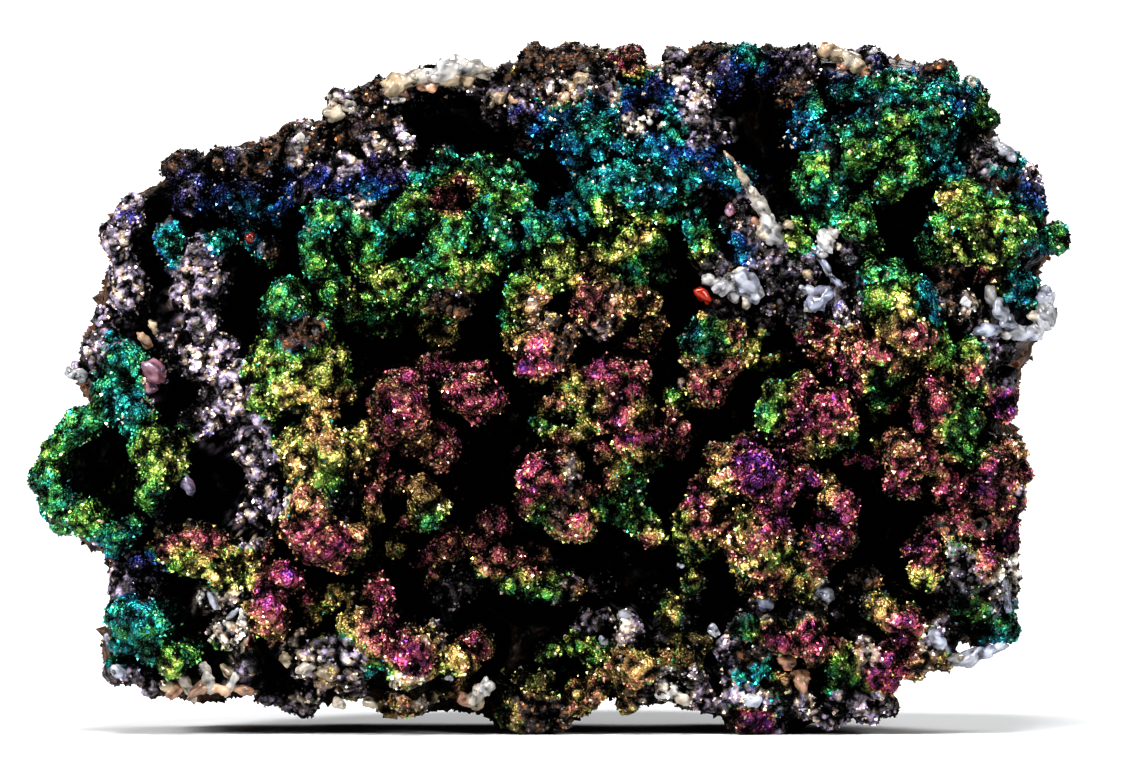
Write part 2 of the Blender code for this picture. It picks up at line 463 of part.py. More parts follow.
def roughen(body, group):
    """Breaks up the sides and the back of a body with clouds of bumps, and weathers its edges."""
    broken = body.vertex_groups.new(name="broken")
    behind = [vert.index for vert in body.data.vertices if vert.co.y > ROUGH_FROM * MM]
    broken.add(behind, 1.0, "REPLACE")
    for size, depth in ROUGHNESS:
        clouds = bpy.data.textures.new("broken", "CLOUDS")
        clouds.noise_scale = size * MM
        bumps = body.modifiers.new("broken", "DISPLACE")
        bumps.texture = clouds
        bumps.texture_coords = "LOCAL"
        bumps.vertex_group = "broken"
        bumps.strength = depth * MM
    grow_together(body)
    smooth = body.modifiers.new("weathered", "SMOOTH")
    smooth.factor = SMOOTHING
    smooth.iterations = 1
    return evaluated(body, "blank", group)


def thin_out(source, triangles, group):
    """The same shape in about that many triangles."""
    triangulate = source.modifiers.new("triangles", "TRIANGULATE")
    triangulate.min_vertices = 4
    source = evaluated(source, "blank", group)
    decimate = source.modifiers.new("facets", "DECIMATE")
    decimate.ratio = triangles / len(source.data.polygons)
    return evaluated(source, "goethite_mass", group)


def make_hollows(group):
    """The cutter of the deep recesses: ellipsoids whose far ends are the floors."""
    bm = bmesh.new()
    for across, down, half_width, half_height, floor in HOLLOWS:
        centre = on_face(across, down, HOLLOW_MOUTH)
        add_ball(bm, centre, [half_width * UNIT, (HOLLOW_MOUTH - floor) * MM, half_height * UNIT])
    joined = mesh_object("hollows", bm, group, cutter=True)
    grow_together(joined)
    decimate = joined.modifiers.new("facets", "DECIMATE")
    decimate.ratio = 0.05
    return evaluated(joined, "hollows", group, cutter=True)


def add_slab(bm, across, down, reach, length, width, thickness, turn, grow):
    """Adds a block with broken corners: a cube stretched along its turn in the face."""
    centre = on_face(across, down, reach - thickness / 2)
    lean = math.radians(7)
    broken_edge = width * 0.22 * MM
    spin = Matrix.Rotation(math.radians(turn), 4, "Y") @ Matrix.Rotation(lean, 4, "X")
    size = Matrix.Diagonal((length * MM + 2 * grow, thickness * MM + 2 * grow, width * MM + 2 * grow, 1.0))
    block = bmesh.ops.create_cube(bm, size=1.0, matrix=Matrix.Translation(centre) @ spin @ size)["verts"]
    edges = list({edge for vert in block for edge in vert.link_edges})
    bmesh.ops.bevel(bm, geom=edges, offset=broken_edge, segments=1, affect="EDGES")


def add_crystal(bm, across, down, reach, length, radius, thickness, turn, grow):
    """Adds a six-sided quartz prism with a blunt point at each end, lying in the face."""
    centre = on_face(across, down, reach - radius)
    lie = Matrix.Rotation(math.radians(turn), 4, "Y") @ Matrix.Rotation(math.radians(90), 4, "Y")
    outer = radius * MM + grow
    point = radius * 0.75 * MM + grow
    deep = Matrix.Diagonal((1.0, thickness / (2 * radius), 1.0, 1.0))
    place = Matrix.Translation(centre + Vector((0, (thickness / 2 - radius) * MM, 0))) @ lie @ deep
    made = bmesh.ops.create_cone(
        bm, cap_ends=True, segments=6, radius1=outer, radius2=outer, depth=length * MM
    )["verts"]
    caps = [face for face in {face for vert in made for face in vert.link_faces} if abs(face.normal.z) > 0.9]
    tips = bmesh.ops.poke(bm, faces=caps)["verts"]
    for tip in tips:
        tip.co.z += math.copysign(point, tip.co.z)
    bmesh.ops.transform(bm, matrix=place, verts=made + tips)


def make_quartz(name, grow, group, cutter=False):
    """One quartz piece, its blocks or crystals joined in one solid; grow makes its pocket's cutter."""
    shapes = SLABS.get(name) or CRYSTALS[name]
    add_shape = add_slab if name in SLABS else add_crystal
    pieces = []
    for number, shape in enumerate(shapes):
        bm = bmesh.new()
        add_shape(bm, *shape, grow)
        bmesh.ops.recalc_face_normals(bm, faces=bm.faces)
        pieces.append(mesh_object(f"{name}_{number}", bm, group, cutter))
    whole = pieces[0]
    for piece in pieces[1:]:
        join = whole.modifiers.new("grown together", "BOOLEAN")
        join.operation = "UNION"
        join.object = piece
        whole = evaluated(whole, name, group, cutter)
        bpy.data.objects.remove(piece, do_unlink=True)
    whole.name = name + ("_pocket" if cutter else "")
    return whole


def make_breaks(group):
    """The cutters of the broken back faces: large blocks that lie on the far side of each face."""
    cutters = []
    side = 0.2
    for number, (direction, distance) in enumerate(BREAKS):
        outward = Vector(direction).normalized()
        turn = outward.to_track_quat("Z", "Y").to_matrix().to_4x4()
        middle = on_face(FACE_MIDDLE, FACE_CENTRE, 0) + outward * (distance * MM + side / 2)
        bm = bmesh.new()
        bmesh.ops.create_cube(bm, size=side, matrix=Matrix.Translation(middle) @ turn)
        cutters.append(mesh_object(f"break_{number}", bm, group, cutter=True))
    return cutters


def make_base(group):
    """The cutter below the surface that the specimen stands on."""
    bm = bmesh.new()
    side = 0.3
    bmesh.ops.create_cube(bm, size=side, matrix=Matrix.Translation((0, 0, -side / 2)))
    return mesh_object("base_cut", bm, group, cutter=True)


def cut(body, cutters, group):
    """A body with every cutter's shape taken out of it."""
    name = body.name
    for number, cutter in enumerate(cutters):
        modifier = body.modifiers.new(f"cut {number}", "BOOLEAN")
        modifier.operation = "DIFFERENCE"
        modifier.object = cutter
    return evaluated(body, name, group)


def keep_largest(body):
    """Removes the crumbs that a cut has parted from a body, and closes what slivers have left open."""
    bm = bmesh.new()
    bm.from_mesh(body.data)
    left = set(bm.verts)
    groups = []
    while left:
        island = []
        queue = [left.pop()]
        while queue:
            vert = queue.pop()
            island.append(vert)
            for edge in vert.link_edges:
                other = edge.other_vert(vert)
                if other in left:
                    left.remove(other)
                    queue.append(other)
        groups.append(island)
    groups.sort(key=len)
    crumbs = [vert for island in groups[:-1] for vert in island]
    bmesh.ops.delete(bm, geom=crumbs, context="VERTS")
    bmesh.ops.holes_fill(bm, edges=bm.edges, sides=4)
    bmesh.ops.triangulate(bm, faces=bm.faces)
    bm.to_mesh(body.data)
    bm.free()


def main():
    fresh_scene()
    specimen = collection("goethite")
    cutters = collection("cutters")
    blank = cut(make_blank(specimen), make_breaks(cutters), specimen)
    mass = thin_out(roughen(blank, specimen), MASS_TRIANGLES, specimen)
    names = list(SLABS) + list(CRYSTALS)
    pockets = [make_quartz(name, GAP, cutters, cutter=True) for name in names]
    mass = cut(mass, [make_hollows(cutters)] + pockets + [make_base(cutters)], specimen)
    keep_largest(mass)
    mass.data.materials.append(material("goethite", (0.07, 0.05, 0.06), 0.4, 0.3))
    white = material("quartz", (0.86, 0.83, 0.78), 0.25)
    for name in names:
        make_quartz(name, 0.0, specimen).data.materials.append(white)
    for item in specimen.objects:
        print(item.name, len(item.data.polygons), "faces")


main()
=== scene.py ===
# %% [markdown]
# # Iridescent goethite
# The specimen is a broken chunk. Its face is a crowd of columns whose heads are lumpy like a cauliflower
# and rough with crystal grains, and a thin film colours them from blue to purple.
# The CAD solid under it is exact but coarse. Here each column, each grain and each bit of quartz gets its
# real shape. Everything is worked out in millimetres, and a mesh is scaled to metres when it is made.

# %% The frame and the measures of the face
import math

import bpy
import numpy as np
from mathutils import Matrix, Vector


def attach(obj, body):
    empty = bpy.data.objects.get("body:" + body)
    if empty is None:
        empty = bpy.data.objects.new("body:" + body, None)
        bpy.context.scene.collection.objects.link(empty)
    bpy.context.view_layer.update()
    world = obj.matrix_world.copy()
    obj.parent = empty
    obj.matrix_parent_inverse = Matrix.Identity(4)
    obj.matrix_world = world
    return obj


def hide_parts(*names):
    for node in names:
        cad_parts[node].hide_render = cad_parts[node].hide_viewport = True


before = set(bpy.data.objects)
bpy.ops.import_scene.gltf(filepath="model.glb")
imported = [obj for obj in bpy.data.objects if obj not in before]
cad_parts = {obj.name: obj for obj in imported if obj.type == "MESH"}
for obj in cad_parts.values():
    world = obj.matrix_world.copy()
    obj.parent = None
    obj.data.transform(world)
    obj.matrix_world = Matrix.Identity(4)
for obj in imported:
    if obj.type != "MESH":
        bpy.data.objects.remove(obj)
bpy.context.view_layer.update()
MM = 0.001
UNIT = 0.1              # millimetres for one unit of the drawing of the face
FACE_MIDDLE = 550.5
FACE_CENTRE = 395
FACE_BASE = 736


def on_face(across, down, reach):
    """Points over places of the face drawing: x is across from the middle, z is up from the base, and
    -y is how far the point stands out in front of the middle plane. All in millimetres."""
    across, down, reach = np.broadcast_arrays(across, down, reach)
    x = (across - FACE_MIDDLE) * UNIT
    z = (FACE_BASE - down) * UNIT
    return np.stack([x, -np.asarray(reach, float), z], axis=-1).astype(float)


def unit(vectors):
    """Each vector divided by its length."""
    return vectors / np.maximum(np.linalg.norm(vectors, axis=-1, keepdims=True), 1e-9)


# %% [markdown]
# ## Two kinds of roughness
# Rock is rough at every size. *Clouds* is smooth noise: random values at the corners of a lattice of
# cubes, blended inside each cube. *Knobs* is what gives a cauliflower its look: every cube holds one
# random point, and the value falls off with the distance to the nearest of them, so round bumps meet in
# sharp creases. Both take whole arrays of points at once.

# %% Clouds and knobs
def lattice(cells, seed):
    """A random number from 0 to 1 for each cell of a lattice, by mixing the bits of its three indices."""
    cells = cells.astype(np.int64)
    mixed = cells[..., 0] * 73856093 ^ cells[..., 1] * 19349663 ^ cells[..., 2] * 83492791
    mixed = (mixed ^ (seed * 2654435761)) & 0xFFFFFFFF
    mixed = ((mixed ^ (mixed >> 15)) * 2246822519) & 0xFFFFFFFF
    mixed = ((mixed ^ (mixed >> 13)) * 3266489917) & 0xFFFFFFFF
    return (mixed ^ (mixed >> 16)) / 4294967296.0


def corners(reach_from, reach_to):
    """Every whole step of three indices from one number to another, as rows."""
    steps = np.arange(reach_from, reach_to + 1)
    return np.stack(np.meshgrid(steps, steps, steps, indexing="ij"), -1).reshape(-1, 3)


def clouds(points, size, seed=0):
    """Smooth noise from -1 to 1: each corner's random value times its share, 3t^2 - 2t^3 along each axis."""
    places = points / size
    cells = np.floor(places)
    share = places - cells
    share = share * share * (3 - 2 * share)
    total = np.zeros(points.shape[:-1])
    for corner in corners(0, 1):
        weight = np.where(corner == 1, share, 1 - share).prod(-1)
        total += weight * lattice(cells + corner, seed)
    return 2 * total - 1


def knobs(points, size, seed=0):
    """Bumps: 1 at each cell's random point, falling with the square of the distance to 0 in the creases."""
    places = points / size
    cells = np.floor(places)
    nearest = np.full(points.shape[:-1], 9.0)
    for corner in corners(-1, 1):
        cell = cells + corner
        point = cell + np.stack([lattice(cell, seed + axis) for axis in (1, 2, 3)], -1)
        nearest = np.minimum(nearest, ((places - point) ** 2).sum(-1))
    return 1 - np.minimum(nearest, 1)


# %% [markdown]
# ## From arrays to a mesh
# A grid of points becomes triangles by joining each point with its neighbours along both directions.
# The first and the last row close in a single point each, so that every piece is a closed skin. What the
# materials need to know about a place is kept with its point, as named attributes.

# %% Grids
def tube_triangles(rows, around):
    """Triangles of a closed skin: rows rings of points, a point before the first and one after the last."""
    ring = np.arange(around)
    after = (ring + 1) % around
    starts = 1 + np.arange(rows - 1)[:, None] * around
    quads = np.stack([starts + ring, starts + around + ring, starts + around + after, starts + after], -1)
    quads = quads.reshape(-1, 4)
    first = np.stack([np.zeros_like(ring), 1 + ring, 1 + after], -1)
    last_ring = 1 + (rows - 1) * around
    last = np.stack([np.full_like(ring, last_ring + around), last_ring + after, last_ring + ring], -1)
    return np.concatenate([first, quads[:, [0, 1, 2]], quads[:, [0, 2, 3]], last])


def tube_map(rows, around):
    """Where each corner of those triangles lies in a square: across it by its place in the ring, and up
    it by its row."""
    left = np.arange(around) / around
    right = left + 1 / around
    middle = (left + right) / 2
    step = 1 / (rows + 1)
    low = (np.arange(rows - 1)[:, None] + 1) * step * np.ones(around)
    across = np.broadcast_arrays(left, right, low)
    corners_of = [
        np.stack([across[0], low], -1), np.stack([across[0], low + step], -1),
        np.stack([across[1], low + step], -1), np.stack([across[1], low], -1),
    ]
    quads = np.stack(corners_of, -2).reshape(-1, 4, 2)
    zero = np.zeros(around)
    first = np.stack([middle, zero, left, zero + step, right, zero + step], -1).reshape(-1, 3, 2)
    top = zero + 1 - step
    last = np.stack([middle, zero + 1, right, top, left, top], -1).reshape(-1, 3, 2)
    return np.concatenate([first, quads[:, [0, 1, 2]], quads[:, [0, 2, 3]], last])


def repeated(triangles, points_each, count):
    """The same triangles for each of count shapes whose points follow each other."""
    offsets = np.arange(count)[:, None, None] * points_each
    return (triangles[None] + offsets).reshape(-1, 3)


def squares(shape_map, count):
    """Each of count shapes in its own square of the piece's map, so that none shares its place."""
    side = math.ceil(math.sqrt(count))
    number = np.arange(count)
    origin = np.stack([number % side, number // side], -1)[:, None, None]
    return ((0.04 + 0.92 * shape_map[None] + origin) / side).reshape(-1, 2)


def triangle_normals(points, triangles):
    """Each triangle's normal, twice its area long."""
    a, b, c = [points[triangles[:, k]] for k in range(3)]
    return np.cross(b - a, c - a)


def point_normals(points, triangles):
    """The mean direction of the triangles that meet in each point."""
    normals = triangle_normals(points, triangles)
    total = [np.bincount(triangles.ravel(), np.repeat(normals[:, k], 3), len(points)) for k in range(3)]
    return unit(np.stack(total, -1))


# %% [markdown]
# Every piece is made by one function. It fills a mesh from whole arrays at once, which is far quicker than
# adding points one by one, and says which body the piece rides on and which solid it stands for.

# %% Pieces
def placed(name, data):
    """An object of the scene for a mesh, a light or a camera."""
    made = bpy.data.objects.new(name, data)
    bpy.context.scene.collection.objects.link(made)
    return made


def new_piece(name, points, triangles, places, marks, material, smooth, nodes=("goethite_mass",)):
    """A mesh object from arrays, in metres, with an attribute for each mark, riding on the specimen."""
    mesh = bpy.data.meshes.new(name)
    mesh.vertices.add(len(points))
    mesh.vertices.foreach_set("co", (points * MM).astype(np.float32).ravel())
    mesh.loops.add(triangles.size)
    mesh.loops.foreach_set("vertex_index", triangles.astype(np.int32).ravel())
    mesh.polygons.add(len(triangles))
    mesh.polygons.foreach_set("loop_start", np.arange(0, triangles.size, 3, dtype=np.int32))
    mesh.polygons.foreach_set("use_smooth", np.full(len(triangles), smooth))
    mesh.uv_layers.new(name="OFBake").data.foreach_set("uv", places.astype(np.float32).ravel())
    for mark, values in marks.items():
        layer = mesh.attributes.new(mark, "FLOAT", "POINT")
        layer.data.foreach_set("value", values.astype(np.float32).ravel())
    mesh.update(calc_edges=True)
    mesh.materials.append(material)
    piece = placed(name, mesh)
    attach(piece, "root")
    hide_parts(*nodes)
    print(f"{name}: {len(points)} points, {len(triangles)} triangles")


# %% [markdown]
# ## The columns of the face
# In these tables each column or knob of the face has four numbers, read off the face: how far across and
# down its tip is, its radius, all in units of the drawing, and its reach in millimetres. The zones are
# named for what they look like. No formula can give these, so they are a table.

# %% The columns, zone by zone
def table(text, width):
    """The numbers of a plain text table, so many to a row."""
    return np.array(text.split(), float).reshape(-1, width)


LEFT_SHOULDER = """
172 164 12 15  190 168 10 15  215 160 12 16  230 156 10 16  248 165 20 18  268 148 12 16  130 201 10 15
118 215 10 16  112 238 12 17  125 222 8 16  185 195 13 19  205 190 9 18  225 196 12 20  250 200 14 21
275 205 12 21  290 195 9 19  165 225 10 19  165 243 12 19  172 262 9 18  200 250 14 20  188 268 12 19
222 238 10 20  205 290 17 21  180 295 12 19  198 320 13 20  265 250 12 20  243 215 9 19  112 290 12 17
125 302 10 17  118 262 10 17  132 280 9 17  98 315 8 15  88 345 10 15  97 362 12 16  105 338 9 16
120 358 17 19  128 378 12 19  105 385 9 17  190 343 12 19  205 358 9 20  222 345 9 20  215 370 8 19
175 360 10 18  160 345 8 18  150 378 10 18  250 238 8 19  72 368 7 14  197 370 8 20
"""
LEFT_LOOP = """
46 455 13 17  58 440 11 17  72 428 11 18  85 418 10 18  100 408 11 19  118 400 12 20  135 418 12 21
44 478 12 17  47 500 12 17  60 515 11 17  78 522 12 18  95 532 11 18  115 540 11 19  128 525 9 19
148 440 11 21  152 462 13 22  150 485 12 22  150 503 9 20  168 450 10 21  168 475 10 20  220 395 17 20
200 415 10 20  190 428 10 20  240 383 12 20  242 410 12 20  255 438 13 20  245 455 11 20  262 470 14 20
262 498 14 20  250 515 10 19  265 415 12 20  275 450 9 20  180 536 11 20  198 541 11 21  215 547 10 21
160 530 9 19  160 552 10 20  180 561 10 21  200 568 10 21  218 576 10 21  232 558 8 21  232 592 8 20
253 556 9 21  255 575 9 20  283 580 16 22  268 590 10 21  118 577 11 17  135 572 10 18  150 585 9 18
121 598 10 17
"""
LOWER_LEFT = """
130 628 20 20  113 620 10 18  118 650 13 18  145 652 13 20  150 630 11 20  168 667 12 20  185 655 9 18
125 675 11 17  108 675 9 16  145 688 9 17  213 600 8 19  233 613 8 19  222 640 12 20  238 655 9 19
265 610 14 22  272 628 11 21  250 620 9 20  245 668 10 19  300 668 13 19  318 655 11 20  345 652 15 21
335 672 12 20  320 685 9 18  355 672 9 19  285 698 9 15  312 698 8 16  345 690 9 16  275 645 9 19
295 640 8 18  308 602 8 19  330 600 8 19  365 618 15 22  368 637 12 22  348 625 9 21  375 652 11 22
388 625 8 19  400 658 14 22  417 655 15 23  405 676 12 22  430 640 9 21  425 672 9 20  452 660 10 20
466 668 10 20  480 650 9 19  470 652 8 18  400 705 12 17  415 711 9 16  425 698 9 17  300 712 7 14
262 700 7 15  310 625 7 17  402 640 7 20  450 690 9 16
"""
TOP_LEFT = """
290 132 12 15  280 150 12 17  305 148 12 17  322 130 10 15  348 107 13 16  365 98 14 16  380 118 14 18
350 130 14 18  375 142 12 19  395 128 9 18  398 146 8 19  293 172 10 18  310 188 9 18  325 175 10 18
345 165 10 18  362 172 9 18  380 167 10 19  372 190 10 19  345 190 9 18  390 190 9 19  365 207 10 20
405 167 9 19  420 180 10 20  440 165 12 21  458 178 9 20  475 168 12 21  458 195 9 19  480 188 10 21
435 195 9 19  495 178 10 21  315 215 12 22  312 238 13 23  318 262 12 23  338 212 12 22  362 230 13 22
350 245 9 20  410 215 16 23  392 228 9 21  428 208 10 22  450 228 18 24  445 250 18 24  470 240 10 22
485 208 10 22  500 195 11 22  515 205 10 22  500 228 12 22  508 245 10 21  485 228 8 20
"""
GREEN_COLUMNS = """
425 275 12 23  465 275 14 24  448 285 11 23  425 303 12 22  455 303 17 23  440 332 14 19  487 262 8 21
365 262 10 21  376 255 8 21  375 290 12 21  395 275 12 22  396 292 11 21  388 308 9 19  335 295 12 22
350 308 9 19  370 320 15 18  320 270 10 21  285 298 18 23  290 325 16 23  272 315 10 21  292 345 13 23
320 333 12 22  310 352 13 23  335 358 10 21  328 318 9 21  262 350 10 21  278 373 18 23  300 368 13 23
325 375 14 23  255 372 10 21  262 395 11 22  285 395 13 23  308 395 12 23  325 408 14 23  345 392 9 21
400 380 13 23  388 398 14 24  408 405 18 25  395 420 13 24  415 425 11 23  430 368 12 21  450 388 10 22
465 375 9 21  478 370 9 21  470 398 14 23  486 395 10 22  477 415 9 22  483 285 6 20  406 268 7 21
447 368 6 20
"""
GOLDEN_MASS = """
315 435 16 24  300 455 13 23  330 455 17 25  312 478 14 24  290 445 9 22  355 455 12 23  340 483 14 24
358 432 9 21  308 505 18 24  330 505 12 23  300 530 15 24  330 540 20 25  355 540 13 24  285 520 9 22
310 552 12 23  340 558 10 22  372 445 11 21  376 470 11 21  374 495 11 21  370 518 11 21  440 432 12 21
440 455 14 22  430 440 9 21  407 480 8 20  425 500 15 23  425 518 9 22  405 440 12 21  402 525 8 19
390 545 10 18  368 568 12 18  445 550 19 18  425 565 10 17  450 595 12 19  467 590 8 18  358 600 10 20
376 597 9 20  495 525 15 18  500 562 13 19  478 545 11 17  485 575 9 18  396 486 6 19  435 582 7 18
"""
TOP_MIDDLE = """
510 72 13 17  530 72 14 18  545 60 12 16  565 55 12 16  548 80 10 18  592 56 13 17  582 82 13 19
560 95 12 19  575 100 9 19  500 95 12 18  518 97 10 19  535 95 9 18  612 62 12 16  612 90 11 19
600 75 10 18  630 54 9 15  635 68 9 17  628 92 11 19  650 93 9 18  523 115 9 20  540 123 9 20  552 112 8 20
500 115 8 17  572 140 12 23  575 155 10 22  590 130 14 23  597 145 10 22  597 107 8 20  610 112 9 20
630 117 9 20  645 120 8 20  580 112 8 20  565 122 8 20  627 132 9 20  622 150 8 20  610 148 9 20
640 140 8 19  480 163 9 20  514 170 8 20  585 182 10 21  598 170 9 21  592 195 9 21  618 168 10 22
615 188 12 23  633 183 12 23  628 200 9 22  650 180 12 23  666 178 11 23  648 200 12 23  665 195 9 22
640 215 9 21  665 215 10 21  680 208 8 20  600 210 10 22  580 215 9 21  585 228 8 20  620 222 8 19
660 145 12 22  673 125 10 21  648 150 8 21  685 155 12 22  697 160 9 22  705 145 9 21  710 165 12 23
722 172 11 22  736 180 9 21  738 195 8 21  690 182 12 22  700 192 8 20  705 130 13 20  690 125 9 19
685 108 9 18  690 92 10 18  700 100 8 18  680 64 13 16  685 78 10 17  671 75 8 16  700 60 9 15
712 54 10 15  725 50 9 14  727 64 12 17  745 50 11 16  757 54 9 15  735 80 9 18  777 55 8 14  762 65 9 15
648 78 7 16  532 140 7 18  530 185 6 19  565 210 7 20  672 103 7 18  722 128 8 18  722 76 6 17
"""
TOP_RIGHT = """
797 65 9 16  806 82 9 17  800 53 9 14  815 58 9 15  822 101 9 18  810 130 10 19  798 128 8 18  855 88 10 19
878 58 9 15  845 80 8 18  890 78 11 20  905 85 9 20  893 100 12 22  905 112 10 22  890 115 10 22
877 113 9 21  880 125 8 21  838 133 8 22  827 143 9 21  850 133 10 22  858 145 9 23  849 153 10 23
875 133 9 22  812 160 8 21  811 173 9 21  825 163 8 22  833 173 8 22  820 180 9 22  829 187 8 22
820 194 8 21  856 168 8 21  831 205 9 21  838 216 8 21  860 212 8 22  863 228 10 22  848 227 8 21
895 175 12 22  908 170 9 22  890 192 8 21  732 226 8 20  741 240 11 21  745 254 8 20  697 212 8 21
692 230 9 21  704 243 8 21  703 258 8 21  915 75 10 17  935 72 8 16  950 70 10 16  928 95 10 20
945 85 10 19  955 88 9 19  958 100 8 20  943 100 8 20  915 92 8 19  975 108 9 17  986 121 8 17
925 118 10 21  937 118 9 22  945 130 8 22  940 142 8 22  948 163 9 20  985 155 9 19  908 142 9 21
902 155 8 21  912 165 9 22  992 167 10 20  1005 160 9 19  1005 172 9 20  1023 172 9 18  988 187 12 21
973 190 10 21  957 193 10 21  960 210 12 22  975 215 10 22  987 215 9 22  1000 200 9 20  1021 187 9 19
1028 200 9 19  1017 208 9 20  1038 192 9 17  1044 209 9 16  790 90 6 16  806 105 7 17  817 116 7 18
790 75 7 15  868 93 7 19  872 65 10 17  868 120 7 20  833 152 7 21  865 150 6 22  877 146 7 22
860 130 7 21  842 173 6 20  843 187 7 20  806 190 6 19  816 207 7 21  823 218 7 20  853 207 6 20
866 198 7 20  893 157 7 20  930 137 7 21  966 172 7 19  913 152 7 21  925 170 7 21  1016 162 7 18
1035 172 7 16  975 90 8 15
"""
RIGHT_GREEN = """
945 222 9 21  946 236 9 21  975 232 8 20  1010 222 11 22  1026 221 10 21  1020 238 11 22  1006 240 8 21
992 240 9 22  995 253 9 22  1010 255 9 20  1050 240 10 17  1062 238 8 16  955 248 9 20  930 256 8 19
890 277 12 22  903 284 9 22  876 284 9 21  884 298 13 23  870 305 11 22  868 292 9 22  903 300 11 23
918 296 9 22  900 315 11 23  915 312 9 23  926 308 8 22  900 332 12 24  915 335 12 24  910 350 10 23
890 332 9 23  880 352 12 23  895 352 9 23  928 333 9 22  905 363 10 21  886 366 8 21  945 358 9 20
935 366 8 20  925 350 9 21  860 350 8 21  865 370 9 21  862 387 9 21  879 383 10 21  857 330 8 20
955 290 10 19  966 305 10 20  947 303 8 19  950 268 10 19  975 250 8 19  990 270 9 19  1028 280 9 17
985 320 8 18  988 338 9 18  1006 352 9 17  988 356 8 18  1007 377 9 16  1008 392 8 16  1000 402 10 17
990 398 8 17  968 350 8 20  965 362 8 20  969 373 9 20  934 389 9 22  933 405 10 23  944 412 9 23
925 412 8 22  922 427 8 22  936 428 8 22  968 448 8 20  887 407 8 17  915 385 8 18  883 440 8 20
897 448 11 22  912 450 12 23  900 466 10 22  916 467 10 22  929 460 9 21  925 443 8 21  903 484 9 20
890 457 8 20  1030 240 7 20  1060 228 7 15  930 240 7 19  917 282 7 21  938 338 7 21  850 317 7 20
845 310 6 20  962 258 7 19  1005 270 8 19  1012 290 7 18  1030 297 8 17  983 388 7 18  1010 408 7 16
975 340 7 18  950 400 7 22  953 418 7 22  955 435 7 21  962 402 6 21  972 417 7 20  965 430 7 20
945 430 7 22  873 403 7 17  903 403 7 17  914 487 5 19  874 458 6 17  945 455 7 19  872 461 7 17
"""
LOWER_RIGHT = """
952 476 8 19  988 457 9 19  995 470 13 21  983 483 11 21  1004 482 12 20  995 500 12 20  978 497 8 20
1010 463 9 19  1003 450 8 17  1018 454 9 17  1012 503 10 18  1000 517 9 19  984 512 9 19  1011 522 8 17
968 515 8 18  1013 488 9 18  956 530 10 19  985 530 11 20  970 526 9 19  960 542 8 19  1009 537 9 17
930 556 10 20  926 575 8 19  936 587 8 19  942 573 8 18  960 553 11 19  962 572 9 19  965 588 11 19
983 560 10 20  993 573 10 20  978 576 9 20  1002 560 8 18  985 595 9 19  1000 590 10 18  1012 565 8 16
1013 590 9 16  992 610 9 18  968 604 8 19  985 622 8 18  1008 612 9 16  1000 628 9 17  762 640 8 20
773 630 10 21  782 644 9 21  808 628 10 21  815 644 11 22  802 645 8 20  765 603 9 18  755 588 8 18
825 595 10 18  808 592 8 17  838 652 8 19  870 650 8 18  884 612 11 21  894 626 9 21  915 628 10 20
928 642 9 19  905 647 8 19  886 660 10 18  928 660 9 19  860 592 10 17  873 582 9 17  848 600 8 16
742 655 11 18  760 655 9 18  738 670 9 18  752 678 9 18  734 687 9 17  750 700 11 18  735 710 9 17
750 726 11 17  764 729 9 16  785 690 11 18  772 705 9 17  800 700 9 17  812 714 9 16  827 717 9 17
844 718 9 16  866 715 9 16  876 704 9 15  843 670 11 19  858 664 9 18  866 678 9 17  850 696 10 17
830 690 8 17  880 688 9 16  895 678 8 16  820 655 8 19  1003 630 8 17  940 620 8 18  950 494 7 19
938 490 5 18  965 493 7 19  962 503 6 18  1026 474 8 16  943 532 7 18  1016 550 7 16  930 532 6 17
917 558 7 18  945 592 7 18  748 620 7 20  747 633 7 20  840 612 7 17  921 676 7 17  906 672 7 17
938 660 7 17  776 733 9 15  728 705 8 16  888 712 6 14  870 697 8 16  1011 632 7 16  962 630 7 17
950 650 8 17  985 640 8 17  955 612 7 18  812 582 7 18
"""
